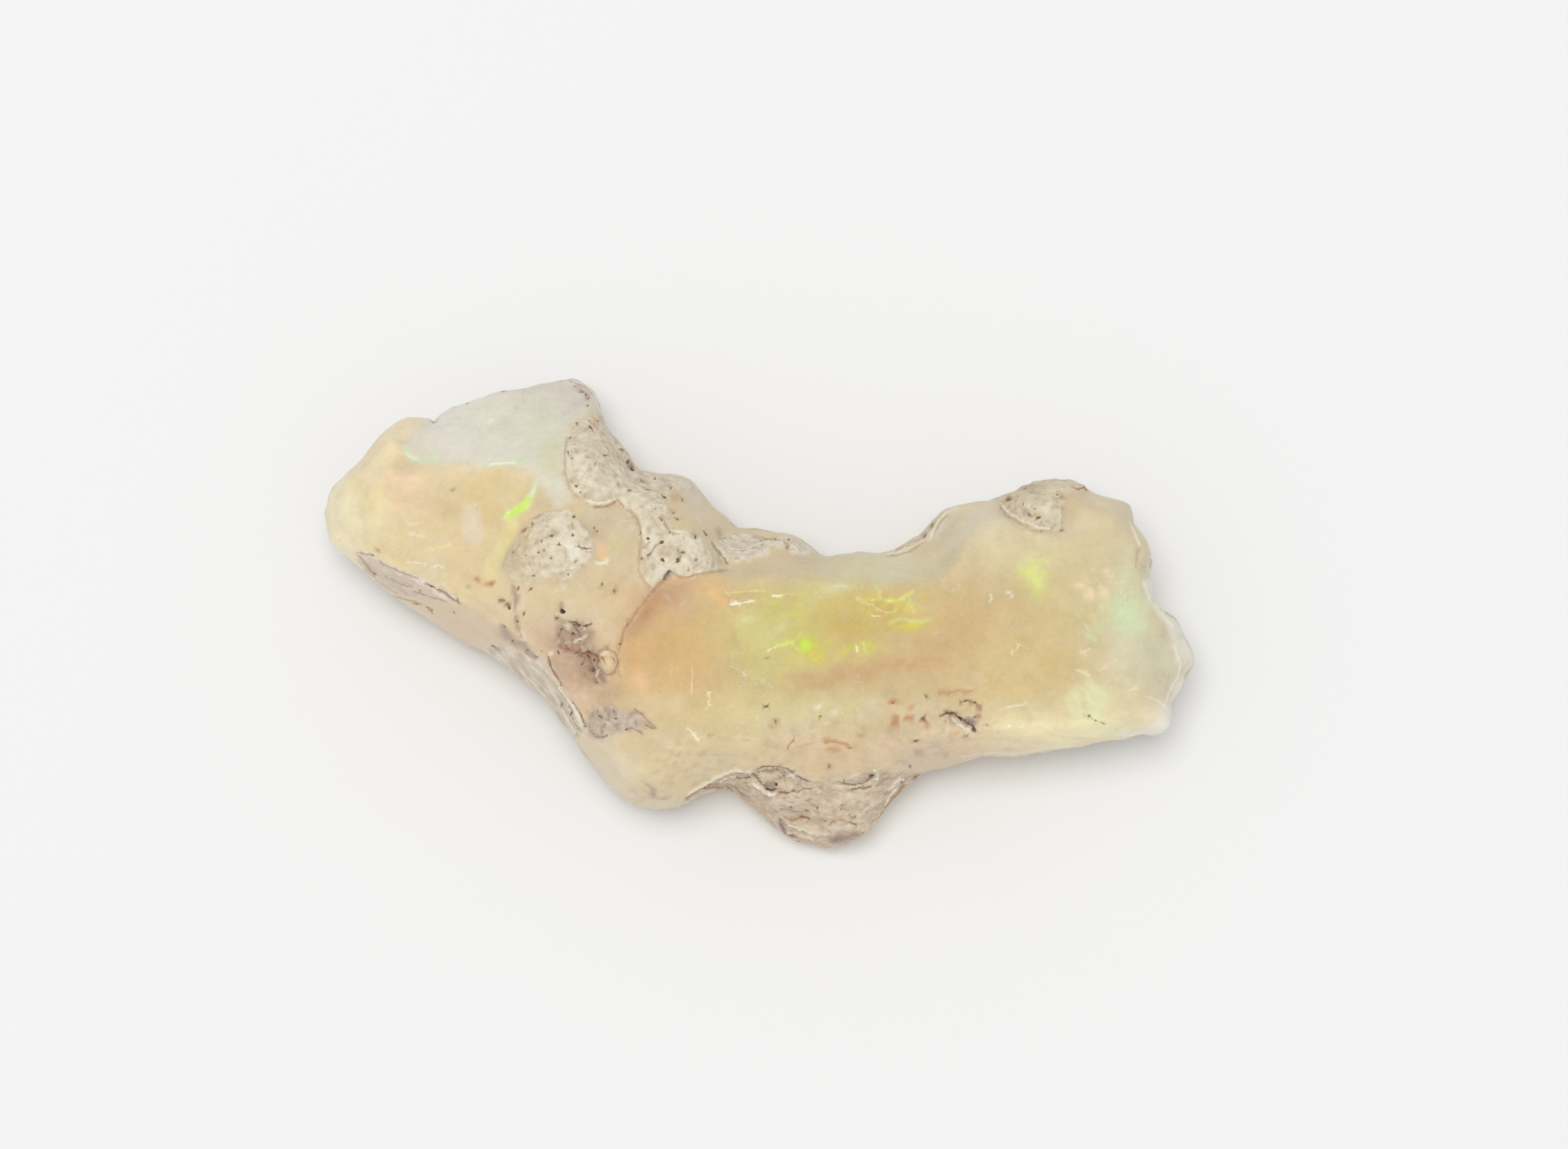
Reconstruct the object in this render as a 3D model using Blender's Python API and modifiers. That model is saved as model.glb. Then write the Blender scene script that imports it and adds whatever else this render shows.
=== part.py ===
"""Rough opal specimen: one unworked stone of honey opal, still carrying patches of its pale host rock.

The stone lies on its flat underside. Seen from above it is a bent bar: a broad lobe at the right, a
smaller lobe at the upper left, a waist between them and a knob of host rock low in the middle. It is
built as a slab of that outline. The slab's upper and lower skins are then pushed to the heights of
the stone, faces are cut from it, host rock is raised on it and hollows are sunk in it.

All coordinates below are millimetres on a stone 30 mm long, and STONE_LENGTH scales them. Points on
the outline and the upper skin are given as they look to an eye above the stone, and true_plan brings
them to their places by their heights.
"""

from collections import namedtuple
from math import cos, radians, sin, tan

import bpy
import numpy as np
from mathutils import Vector, noise

MM = 0.001
STONE_LENGTH = 30.0 * MM
MOST_TRIANGLES = 9000

# The eye is VIEW_DISTANCE away, VIEW_TILT degrees off the vertical towards -Y. What lies at
# VIEW_LEVEL is seen at its true size.
VIEW_DISTANCE = 150.0
VIEW_TILT = 8.0
VIEW_LEVEL = 3.5

SLAB_THICKNESS = 1.0
SLAB_VOXEL = 0.25
LOOP_STEPS = 3
EDGE_THICKNESS = 0.7
LEAST_THICKNESS = 0.5
RIM_BLEND = 0.9

HONEY_CREAM = (0.66, 0.54, 0.33, 1.0)

# A stretch of the outline. rim is the height of the stone's widest edge there, over is how far in
# the upper shoulder takes to reach full height, and under is the same for the lower shoulder.
Stretch = namedtuple("Stretch", "name rim over under points")

OUTLINE = [
    Stretch("left end", 3.0, 1.0, 2.4, [
        (-14.88, 4.12), (-14.96, 3.70), (-14.95, 3.00), (-14.88, 2.50), (-14.68, 2.20),
    ]),
    Stretch("lower left side", 1.9, 0.9, 1.2, [
        (-14.30, 1.92), (-13.60, 1.33), (-12.90, 0.75), (-12.00, 0.12), (-11.25, -0.30),
        (-10.30, -0.92), (-9.60, -1.25), (-8.70, -1.88),
    ]),
    Stretch("foot of the waist", 1.6, 0.9, 1.0, [
        (-7.90, -2.52), (-7.15, -3.12), (-6.80, -3.75), (-6.30, -4.45), (-5.50, -5.48),
        (-4.95, -6.15), (-4.50, -6.48),
    ]),
    Stretch("lower lip", 2.8, 1.0, 1.6, [
        (-3.90, -6.56), (-3.20, -6.66), (-2.62, -6.50), (-2.10, -6.15), (-1.50, -5.92),
    ]),
    Stretch("knob", 1.0, 0.8, 0.7, [
        (-1.00, -6.05), (-0.40, -6.55), (0.30, -7.12), (0.78, -7.55), (1.50, -7.86),
        (2.50, -8.02), (3.30, -7.92), (3.82, -7.52), (4.15, -7.05), (4.60, -6.50),
        (5.10, -5.95), (5.62, -5.52),
    ]),
    Stretch("lower right side", 3.6, 1.1, 2.8, [
        (6.20, -5.18), (7.20, -5.00), (8.00, -4.87), (8.70, -4.92), (9.50, -4.70),
        (10.50, -4.65), (11.50, -4.45), (12.60, -4.20), (13.30, -4.08), (13.80, -4.12),
    ]),
    Stretch("chipped right end", 3.5, 0.8, 2.6, [
        (14.06, -3.85), (14.14, -3.30), (14.36, -2.72), (14.66, -2.30), (14.80, -1.90),
        (15.02, -1.55), (14.74, -1.20), (14.55, -0.85), (14.50, -0.45), (14.05, -0.10),
        (13.74, 0.30), (13.46, 0.60), (13.52, 1.00), (13.34, 1.35), (13.52, 1.80),
        (13.40, 2.30), (13.14, 2.66), (12.94, 3.15), (12.84, 3.60), (12.64, 3.88),
    ]),
    Stretch("upper right edge", 3.7, 1.4, 2.0, [
        (12.20, 3.98), (11.60, 4.10), (11.20, 4.31), (10.80, 4.48), (10.20, 4.60),
        (9.50, 4.48), (8.80, 4.26), (8.20, 3.90), (7.50, 3.88), (6.80, 3.80), (6.34, 3.66),
    ]),
    Stretch("saddle", 3.0, 1.4, 1.4, [
        (6.15, 3.38), (5.92, 3.06), (5.50, 2.68), (5.00, 2.34), (4.30, 2.05), (3.50, 2.12),
        (3.00, 2.02), (2.40, 1.88), (2.02, 2.00), (1.60, 2.40), (1.08, 2.80), (0.40, 2.86),
        (-0.40, 2.90), (-0.90, 2.99),
    ]),
    Stretch("rock shoulder", 2.6, 1.7, 1.3, [
        (-1.28, 3.38), (-1.68, 3.62), (-2.05, 4.20), (-2.42, 4.56), (-3.10, 4.75),
        (-3.90, 4.75), (-4.32, 4.98), (-4.56, 5.48), (-5.00, 6.00), (-5.36, 6.42),
        (-5.52, 6.90), (-5.60, 7.32), (-5.82, 7.78), (-6.20, 8.00),
    ]),
    Stretch("upper left edge", 3.0, 1.0, 1.6, [
        (-7.10, 8.08), (-7.60, 7.96), (-8.30, 7.77), (-8.90, 7.73), (-9.80, 7.43),
        (-10.50, 7.18), (-10.95, 6.92), (-11.24, 6.62),
    ]),
    Stretch("left hump", 3.2, 1.0, 2.2, [
        (-11.52, 6.78), (-12.00, 6.86), (-12.45, 6.72), (-12.90, 6.30), (-13.35, 5.84),
        (-13.75, 5.22), (-14.20, 4.88), (-14.60, 4.42),
    ]),
]

# Spot heights of the upper skin, as (x, y, height), before any face is cut.
SWELL = [
    (-14.0, 3.2, 6.1), (-12.5, 5.2, 6.3), (-11.5, 3.2, 6.0), (-9.5, 5.0, 6.4), (-9.5, 3.0, 5.9),
    (-11.5, 1.5, 6.2), (-9.0, 1.0, 6.4), (-7.6, 5.5, 6.4), (-7.0, 7.2, 5.6), (-9.5, 7.0, 6.3),
    (-12.2, 6.4, 6.0), (-7.2, 2.3, 6.8), (-5.3, 3.2, 6.7), (-5.0, 1.0, 7.0), (-6.0, -0.5, 6.9),
    (-5.5, 5.2, 6.1), (-3.5, 3.0, 6.6), (-2.5, 4.0, 5.6), (-2.0, 2.0, 6.8), (-6.3, -2.5, 6.7),
    (-5.0, -3.7, 6.4), (-4.3, -5.3, 5.8), (-8.5, -0.8, 6.4), (-7.6, -1.8, 6.0), (0.0, 2.3, 6.3),
    (-2.5, -1.0, 7.2), (0.0, 0.5, 7.3), (2.5, -1.0, 7.3), (6.0, -1.0, 7.1), (9.0, -1.0, 6.9),
    (12.0, -1.0, 6.6), (14.0, -1.2, 6.2), (3.0, 1.4, 6.8), (7.0, 2.8, 6.4), (9.7, 3.4, 6.4),
    (11.8, 3.0, 6.2), (13.0, 1.5, 6.0), (-1.5, -3.8, 6.8), (2.0, -4.2, 6.6), (5.5, -4.0, 6.4),
    (9.0, -3.8, 6.3), (12.0, -3.5, 6.1), (0.0, -5.1, 6.0), (3.3, -5.1, 5.8), (1.8, -6.3, 3.9),
    (2.6, -7.2, 2.9), (4.6, -5.9, 4.0), (-0.2, -6.2, 3.8), (6.2, -4.7, 5.3),
]

# A cut face is a plane through at. It falls towards bearing, in degrees from +X, at dip degrees. It
# reaches half its length to each side of at, and past that it runs out of the stone.
Face = namedtuple("Face", "name at bearing dip half")
RUN_OUT = 1.4

UPPER_FACES = [
    Face("upper left face", (-9.3, 5.15, 6.20), 97, 41, 3.1),
    Face("left end face", (-13.45, 3.5, 5.90), 188, 40, 1.7),
    Face("left hump face", (-12.7, 5.4, 5.95), 135, 38, 1.4),
    Face("lower left band", (-11.8, 1.1, 6.00), 245, 58, 2.5),
    Face("grey slope", (-8.2, -1.1, 6.00), 237, 50, 1.3),
    Face("waist foot slope", (-6.7, -2.75, 6.20), 207, 56, 1.7),
    Face("lower lip slope", (-4.9, -4.7, 5.80), 222, 36, 2.0),
    Face("right end face", (12.9, -1.0, 6.00), 350, 32, 3.0),
    Face("upper right face", (12.2, 3.0, 5.90), 50, 40, 1.5),
    Face("lower right bevel", (10.2, -3.8, 6.00), 273, 48, 3.4),
    Face("window bevel", (2.4, 1.0, 6.50), 86, 50, 3.5),
    Face("upper right slope", (7.6, 2.5, 6.25), 104, 42, 1.5),
    Face("rock shoulder slope", (-3.0, 3.9, 5.90), 55, 44, 1.6),
    Face("knob slope", (2.2, -6.4, 3.90), 268, 48, 3.6),
]
UNDER_FACES = [
    Face("lift under the right end", (6.8, 0.0, 0.0), 4, 16, 9.0),
    Face("lift under the left end", (-10.6, 3.0, 0.0), 172, 20, 9.0),
    Face("lift under the lower right", (8.0, -3.2, 0.0), 285, 24, 4.0),
    Face("lift under the saddle", (1.0, 0.6, 0.0), 88, 30, 4.0),
    Face("undercut of the right end", (12.4, -0.9, 0.0), 352, 52, 3.2),
    Face("undercut of the upper right edge", (9.6, 2.7, 0.0), 78, 50, 3.0),
    Face("undercut of the lower right side", (9.6, -3.3, 0.0), 276, 54, 4.2),
    Face("undercut of the rock shoulder", (-3.9, 3.2, 0.0), 46, 47, 2.6),
    Face("undercut of the upper left edge", (-9.3, 5.5, 0.0), 103, 51, 3.4),
    Face("undercut of the left end", (-13.1, 3.3, 0.0), 186, 55, 1.8),
    Face("undercut of the left hump", (-12.2, 4.9, 0.0), 138, 50, 1.6),
    Face("undercut of the lower left side", (-11.2, 1.1, 0.0), 239, 38, 3.2),
    Face("undercut of the waist", (-5.6, -3.0, 0.0), 215, 40, 2.2),
]

# The large clear window on the right lobe is a gently tilted flat, which ends at the left in a
# scalloped arc.
WINDOW = Face("right window", (-3.0, -1.0, 6.7), 356, 3.0, 20.0)
WINDOW_ARC_CENTRE = (-1.0, -1.9)
WINDOW_ARC_RADIUS = 3.8
WINDOW_WALL = 0.35

# A patch is an ellipse. size holds its half lengths, turn its angle in degrees, and lift its
# height: host rock stands up, and a hollow goes down. edge is how wide its border slope is, as a
# share of its size.
Patch = namedtuple("Patch", "name at size turn lift edge")

HOST_ROCK = [
    Patch("rock by the left window", (-7.15, 2.30), (1.55, 1.30), 35, 0.42, 0.50),
    Patch("rock flap", (-5.55, 5.25), (1.55, 1.02), 108, 0.30, 0.45),
    Patch("rock in the waist", (-3.10, 2.70), (2.00, 1.40), 128, 0.34, 0.55),
    Patch("rock strip on the saddle", (0.10, 2.40), (1.75, 0.50), 5, 0.22, 0.5),
    Patch("rock on the right edge", (9.45, 3.62), (1.36, 0.98), 350, 0.50, 0.60),
    Patch("grey crust", (-4.90, -3.72), (1.15, 0.48), 352, 0.16, 0.5),
    Patch("white nub", (-5.18, -1.62), (0.36, 0.40), 0, 0.32, 0.8),
]
HOLLOWS = [
    Patch("rough hollow", (-6.45, -0.75), (0.85, 0.62), 60, -0.42, 0.9),
    Patch("brown hollow", (-5.85, -1.90), (0.42, 0.80), 20, -0.60, 0.9),
    Patch("pit cluster", (7.15, -3.70), (0.66, 0.36), 330, -0.46, 0.9),
    Patch("ringed hollow", (0.60, -5.78), (1.10, 0.55), 350, -0.80, 0.9),
    Patch("knob hollow", (3.80, -5.60), (0.90, 0.36), 22, -0.35, 1.0),
    Patch("knob ledge", (1.60, -7.10), (1.30, 0.40), 352, -0.45, 1.0),
    Patch("hollow above the lip", (-2.30, -5.10), (1.30, 0.70), 30, -0.25, 1.0),
    Patch("groove under the lip", (-0.90, -5.86), (1.25, 0.36), 18, -0.80, 0.9),
    Patch("pit in the edge rock", (9.35, 3.42), (0.52, 0.34), 330, -0.24, 0.9),
    Patch("chipped oval", (-9.92, 3.02), (0.76, 0.42), 108, -0.12, 0.6),
]

# Shallow scars in the resting face, where flakes broke away.
SCARS = [
    Patch("scar under the right lobe", (4.60, -1.30), (2.70, 1.70), 12, 0.45, 1.0),
    Patch("scar under the left lobe", (-9.00, 2.30), (1.90, 1.30), 335, 0.40, 0.9),
    Patch("scar under the knob", (1.70, -5.60), (1.70, 1.20), 20, 0.50, 0.9),
    Patch("scar under the waist", (-5.90, 0.10), (1.50, 1.00), 60, 0.30, 1.0),
    Patch("scar under the lip", (-3.60, -4.60), (1.20, 0.90), 30, 0.35, 0.9),
]

# Borders of faces and patches wander by WANDER over waves of WANDER_SIZE.
WANDER_SIZE, WANDER = 1.8, 0.32

GRAIN_SIZE, GRAIN_HEIGHT = 1.7, 0.10
UNDER_GRAIN_SIZE, UNDER_GRAIN_HEIGHT = 2.6, 0.45
REST_BLEND = 0.9
FLATTEN_BELOW = 0.02


def clear_scene():
    """Removes every object, so that only the stone is left."""
    for old in list(bpy.data.objects):
        bpy.data.objects.remove(old)


def smooth_step(value):
    """0 below 0, 1 above 1, and a soft ramp between."""
    value = np.clip(value, 0.0, 1.0)
    return value * value * (3.0 - 2.0 * value)


def round_shoulder(share):
    """A quarter circle: 0 at the edge, steep at first, and level at 1."""
    share = np.clip(share, 0.0, 1.0)
    return np.sqrt(1.0 - (1.0 - share) ** 2)


def true_plan(seen, height):
    """Where points at these heights stand, from where the eye sees them."""
    rise = height - VIEW_LEVEL
    x, y = seen.T / (1.0 + rise / VIEW_DISTANCE)
    return np.column_stack([x, (y - rise * sin(radians(VIEW_TILT))) / cos(radians(VIEW_TILT))])


def as_seen(plan, height):
    """Where the eye sees points that stand on the plan at these heights."""
    rise = height - VIEW_LEVEL
    x, y = plan.T
    y = y * cos(radians(VIEW_TILT)) + rise * sin(radians(VIEW_TILT))
    return np.column_stack([x, y]) * (1.0 + rise / VIEW_DISTANCE)[:, None]


def outline_loop():
    """The outline as one smooth closed loop: each row is x, y, rim, over, under."""
    knots = np.array([
        (x, y, stretch.rim, stretch.over, stretch.under)
        for stretch in OUTLINE
        for x, y in stretch.points
    ])
    knots[:, :2] = true_plan(knots[:, :2], knots[:, 2])
    before, after, beyond = (np.roll(knots, shift, axis=0) for shift in (1, -1, -2))
    rows = []
    for t in np.arange(LOOP_STEPS) / LOOP_STEPS:
        curved = 0.5 * (
            2 * knots
            + (after - before) * t
            + (2 * before - 5 * knots + 4 * after - beyond) * t**2
            + (3 * knots - before - 3 * after + beyond) * t**3
        )
        curved[:, 2:] = knots[:, 2:] * (1 - t) + after[:, 2:] * t
        rows.append(curved)
    return np.stack(rows, axis=1).reshape(-1, 5)


def slab_mesh(loop):
    """A thin slab of the outline, remeshed into even small faces."""
    curve = bpy.data.curves.new("outline", "CURVE")
    curve.dimensions = "2D"
    curve.fill_mode = "BOTH"
    curve.extrude = SLAB_THICKNESS / 2
    spline = curve.splines.new("POLY")
    spline.points.add(len(loop) - 1)
    for point, (x, y) in zip(spline.points, loop[:, :2]):
        point.co = (x, y, 0.0, 1.0)
    spline.use_cyclic_u = True
    guide = bpy.data.objects.new("outline", curve)
    bpy.context.scene.collection.objects.link(guide)
    slab = bpy.data.objects.new("slab", mesh_of(guide))
    bpy.context.scene.collection.objects.link(slab)
    remesh = slab.modifiers.new("even faces", "REMESH")
    remesh.mode = "VOXEL"
    remesh.voxel_size = SLAB_VOXEL
    mesh = mesh_of(slab)
    for helper in (guide, slab):
        bpy.data.objects.remove(helper)
    return mesh


def mesh_of(obj):
    """The mesh that an object shows, with its modifiers."""
    graph = bpy.context.evaluated_depsgraph_get()
    return bpy.data.meshes.new_from_object(obj.evaluated_get(graph))


def rim_fields(plan, loop):
    """For each plan point: its distance from the outline, and the rim, over and under near it."""
    start = loop[:, :2]
    step = np.roll(start, -1, axis=0) - start
    offset = plan[:, None, :] - start[None]
    along = np.clip((offset * step).sum(2) / (step**2).sum(1), 0.0, 1.0)
    nearest = offset - along[..., None] * step
    distance = np.sqrt((nearest**2).sum(2)).min(1)
    weight = 1.0 / ((offset**2).sum(2) + RIM_BLEND**2) ** 2
    rim, over, under = (weight @ loop[:, 2:] / weight.sum(1, keepdims=True)).T
    return distance, rim, over, under


def plate_kernel(distance):
    """The bending of a thin plate at a distance from a point that holds it."""
    return np.where(distance > 0, distance**2 * np.log(np.maximum(distance, 1e-9)), 0.0)


def swell_heights(plan):
    """A thin plate bent through the spot heights, read at the plan points."""
    spots = np.array(SWELL)
    spots[:, :2] = true_plan(spots[:, :2], spots[:, 2])
    gaps = np.linalg.norm(spots[:, None, :2] - spots[None, :, :2], axis=2)
    level = np.column_stack([np.ones(len(spots)), spots[:, :2]])
    system = np.block([[plate_kernel(gaps), level], [level.T, np.zeros((3, 3))]])
    bend = np.linalg.solve(system, np.append(spots[:, 2], np.zeros(3)))
    reach = np.linalg.norm(plan[:, None] - spots[None, :, :2], axis=2)
    tilt = np.column_stack([np.ones(len(plan)), plan])
    return plate_kernel(reach) @ bend[:-3] + tilt @ bend[-3:]


def face_heights(face, plan):
    """The height of a cut face's plane over the plan points."""
    x, y, height = face.at
    bearing = radians(face.bearing)
    dx, dy = plan[:, 0] - x, plan[:, 1] - y
    run = dx * cos(bearing) + dy * sin(bearing)
    past_end = np.maximum(np.abs(dy * cos(bearing) - dx * sin(bearing)) - face.half, 0.0)
    return height - run * tan(radians(face.dip)) + past_end * RUN_OUT


def patch_share(patch, plan):
    """1 inside a patch, 0 outside it, with a soft border."""
    turn = radians(patch.turn)
    dx, dy = plan[:, 0] - patch.at[0], plan[:, 1] - patch.at[1]
    along = (dx * cos(turn) + dy * sin(turn)) / patch.size[0]
    across = (dy * cos(turn) - dx * sin(turn)) / patch.size[1]
    return smooth_step((1.0 - np.hypot(along, across)) / patch.edge)


def window_share(plan):
    """1 inside the right window, 0 left of the arc that ends it."""
    from_centre = np.hypot(plan[:, 0] - WINDOW_ARC_CENTRE[0], plan[:, 1] - WINDOW_ARC_CENTRE[1])
    inside = np.maximum(WINDOW_ARC_RADIUS - from_centre, plan[:, 0] - WINDOW_ARC_CENTRE[0])
    return smooth_step(inside / WINDOW_WALL)


def grain(plan, size, seed):
    """Soft lumps from -1 to 1, in three octaves."""
    return np.array([
        noise.fractal(Vector((x / size, y / size, seed)), 1.0, 2.0, 3) for x, y in plan
    ])


def wandered(plan):
    """The plan points moved a little to and fro, so that straight lines and ellipses waver."""
    return plan + WANDER * np.column_stack([grain(plan, WANDER_SIZE, seed) for seed in (21.0, 35.0)])


def upper_skin(plan, distance, rim, over):
    """Heights of the upper skin."""
    top = swell_heights(plan)
    seen = as_seen(plan, top)
    wavy = wandered(seen)
    for face in UPPER_FACES:
        top = np.minimum(top, face_heights(face, wavy))
    window = window_share(seen)
    top += window * (np.minimum(top, face_heights(WINDOW, seen)) - top)
    top += GRAIN_HEIGHT * (1.0 - 0.8 * window) * grain(plan, GRAIN_SIZE, 3.0)
    for patch in HOST_ROCK + HOLLOWS:
        top += patch.lift * patch_share(patch, wavy)
    edge = rim + EDGE_THICKNESS / 2
    return edge + np.maximum(top - edge, 0.0) * round_shoulder(distance / over)


def under_skin(plan, distance, rim, under):
    """Heights of the lower skin, which is flat where the stone rests."""
    edge = rim - EDGE_THICKNESS / 2
    bottom = edge * (1.0 - round_shoulder(distance / under))
    wavy = wandered(plan)
    for face in UNDER_FACES:
        bottom = np.maximum(bottom, -face_heights(face, wavy))
    for scar in SCARS:
        bottom = np.maximum(bottom, scar.lift * patch_share(scar, wavy))
    lumps = UNDER_GRAIN_HEIGHT * grain(plan, UNDER_GRAIN_SIZE, 11.0)
    return np.maximum(bottom + lumps * smooth_step(bottom / REST_BLEND), 0.0)


def mesh_points(mesh):
    """The mesh's vertices, one row each."""
    points = np.empty(len(mesh.vertices) * 3)
    mesh.vertices.foreach_get("co", points)
    return points.reshape(-1, 3)


def shape_stone(mesh, loop):
    """Moves the slab's skins to the stone's heights, in millimetres."""
    points = mesh_points(mesh)
    plan, level = points[:, :2].copy(), points[:, 2]
    distance, rim, over, under = rim_fields(plan, loop)
    bottom = under_skin(plan, distance, rim, under)
    top = np.maximum(upper_skin(plan, distance, rim, over), bottom + LEAST_THICKNESS)
    share = (level - level.min()) / (level.max() - level.min())
    points[:, 2] = bottom + (top - bottom) * share
    mesh.vertices.foreach_set("co", points.ravel())
    mesh.update()


def fewer_faces(mesh):
    """The same shape with at most MOST_TRIANGLES."""
    full = bpy.data.objects.new("all faces", mesh)
    bpy.context.scene.collection.objects.link(full)
    fewer = full.modifiers.new("fewer faces", "DECIMATE")
    mesh.calc_loop_triangles()
    fewer.ratio = min(1.0, MOST_TRIANGLES / len(mesh.loop_triangles))
    thinned = mesh_of(full)
    bpy.data.objects.remove(full)
    return thinned


def set_on_origin(mesh):
    """Flattens the resting face, puts the origin under the middle, and scales to real size."""
    points = mesh_points(mesh)
    points[points[:, 2] < FLATTEN_BELOW, 2] = 0.0
    low, high = points.min(0), points.max(0)
    points -= ((low[0] + high[0]) / 2, (low[1] + high[1]) / 2, 0.0)
    points *= STONE_LENGTH / (high[0] - low[0])
    mesh.vertices.foreach_set("co", points.ravel())
    mesh.update()


def opal_material():
    """Milky honey opal, glossy and lightly translucent."""
    material = bpy.data.materials.new("honey opal")
    material.use_nodes = True
    shader = material.node_tree.nodes["Principled BSDF"]
    shader.inputs["Base Color"].default_value = HONEY_CREAM
    shader.inputs["Roughness"].default_value = 0.35
    shader.inputs["Metallic"].default_value = 0.0
    return material


def make_stone():
    """The whole specimen as one closed solid."""
    loop = outline_loop()
    mesh = slab_mesh(loop)
    shape_stone(mesh, loop)
    mesh = fewer_faces(mesh)
    set_on_origin(mesh)
    mesh.name = "opal_stone"
    mesh.materials.append(opal_material())
    mesh.shade_smooth()
    stone = bpy.data.objects.new("opal_stone", mesh)
    specimen = bpy.data.collections.new("rough opal specimen")
    bpy.context.scene.collection.children.link(specimen)
    specimen.objects.link(stone)
    return stone


clear_scene()
make_stone()
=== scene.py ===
# %% [markdown]
# # A rough opal, seen close
# The object is one stone, 30 mm long: milky honey opal with flashes of green and orange in it, and
# pale pitted host rock still stuck to it. The CAD solid already has its outline, faces and larger
# lumps. This lesson gives it the surface that the eye meets: a fine mesh, sculpted rock, pits and
# cracks, colour laid down in zones, and a milky material. The loader brings in the solid.

# %% Load the solid
from math import cos, radians, sin

import bmesh
import bpy
import numpy as np
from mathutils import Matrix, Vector, noise


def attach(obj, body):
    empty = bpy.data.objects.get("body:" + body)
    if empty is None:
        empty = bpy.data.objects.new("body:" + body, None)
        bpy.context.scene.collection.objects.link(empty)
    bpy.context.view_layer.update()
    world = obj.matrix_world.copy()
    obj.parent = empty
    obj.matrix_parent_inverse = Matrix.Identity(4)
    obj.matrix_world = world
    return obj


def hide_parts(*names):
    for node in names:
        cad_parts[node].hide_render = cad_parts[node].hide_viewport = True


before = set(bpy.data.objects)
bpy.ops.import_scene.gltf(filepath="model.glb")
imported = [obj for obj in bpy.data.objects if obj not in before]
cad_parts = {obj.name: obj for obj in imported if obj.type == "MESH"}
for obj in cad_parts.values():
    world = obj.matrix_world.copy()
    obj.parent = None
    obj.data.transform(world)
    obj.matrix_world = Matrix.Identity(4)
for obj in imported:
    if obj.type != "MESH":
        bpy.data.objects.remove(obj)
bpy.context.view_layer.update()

MM = 0.001

# %% [markdown]
# ## Where the eye is
# The stone is looked at from 150 mm away, eight degrees off the vertical. Every mark below is given
# in "picture millimetres": how far right and up of the stone's middle it looks to be from there. Marks
# could be placed on the solid in three dimensions, but then each would have to be found twice. Instead
# the mesh's points are moved into picture millimetres, with the perspective that the camera will have,
# so a mark lands where it looks to be and still sits on the surface when the stone is turned.

# %% The eye and its picture
EYE_DISTANCE = 150.27
EYE_TILT = radians(8.0)
PICTURE_MIDDLE = np.array((0.84, 1.344))
LOOK_AT = np.array((0.8673, 1.1590, 3.5026))

TO_EYE = np.array((0.0, -sin(EYE_TILT), cos(EYE_TILT)))
RIGHT = np.array((1.0, 0.0, 0.0))
UP = np.array((0.0, cos(EYE_TILT), sin(EYE_TILT)))


def in_picture(points):
    """Where points of the stone, in millimetres, look to be."""
    offset = points - LOOK_AT
    nearer = EYE_DISTANCE / (EYE_DISTANCE - offset @ TO_EYE)
    return PICTURE_MIDDLE + np.column_stack([offset @ RIGHT, offset @ UP]) * nearer[:, None]


# %% [markdown]
# ## Shapes to mark with
# A mark is an area with a border, a soft round dab, or a stroke along a line. Each is turned into a
# share from 0 to 1 at every point of the mesh: how much of the mark is there. The same share can lift
# the surface, lower it, or colour it, so rock and its colour always end at the same place.

# %% Areas, dabs and strokes
def smooth_step(low, high, values):
    """0 below low, 1 above high, and an even slope between, turned round if high is below low."""
    share = np.clip((values - low) / (high - low), 0.0, 1.0)
    return share * share * (3.0 - 2.0 * share)


def distance_to_line(seen, corners):
    """How far each point is from a broken line."""
    nearest = np.full(len(seen), np.inf)
    for start, end in zip(corners[:-1], corners[1:]):
        start, along = np.array(start), np.subtract(end, start)
        share = np.clip((seen - start) @ along / (along @ along), 0.0, 1.0)
        nearest = np.minimum(nearest, np.hypot(*(seen - start - share[:, None] * along).T))
    return nearest


def inside(seen, corners):
    """Whether each point is inside a closed outline."""
    x, y = seen.T
    within = np.zeros(len(seen), bool)
    for (x1, y1), (x2, y2) in zip(corners, corners[1:] + corners[:1]):
        if y1 != y2:
            within ^= ((y1 > y) != (y2 > y)) & (x < (x2 - x1) * (y - y1) / (y2 - y1) + x1)
    return within


def area(seen, corners, edge):
    """Share of a closed outline whose border is as soft as edge, in millimetres."""
    away = distance_to_line(seen, corners + corners[:1])
    return smooth_step(edge, -edge, np.where(inside(seen, corners), -away, away))


def dab(seen, at, size, turn=0.0):
    """Share of a soft oval: half at its rim, which is size from its middle, turned by degrees."""
    c, s = cos(radians(turn)), sin(radians(turn))
    x, y = (seen - np.array(at)).T
    reach = np.hypot((x * c + y * s) / size[0], (y * c - x * s) / size[1])
    return 1.0 / (1.0 + reach**3.5)


def spot(seen, at, size, turn=0.0):
    """Share of a small round mark, full only at its middle."""
    c, s = cos(radians(turn)), sin(radians(turn))
    x, y = (seen - np.array(at)).T
    return np.exp(-2.6 * (((x * c + y * s) / size[0]) ** 2 + ((y * c - x * s) / size[1]) ** 2))


def stroke(seen, corners, width):
    """Share of a line, fading out over its width."""
    return smooth_step(width, 0.2 * width, distance_to_line(seen, corners))


def clouds(points, size, octaves=3, seed=0):
    """Even noise, about -1 to 1, whose lumps are as large as size."""
    shift = Vector((seed * 7.3, seed * 3.1, seed * 5.7))
    return np.array([noise.fractal(Vector(p) / size + shift, 1.0, 2.0, octaves) for p in points])


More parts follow.
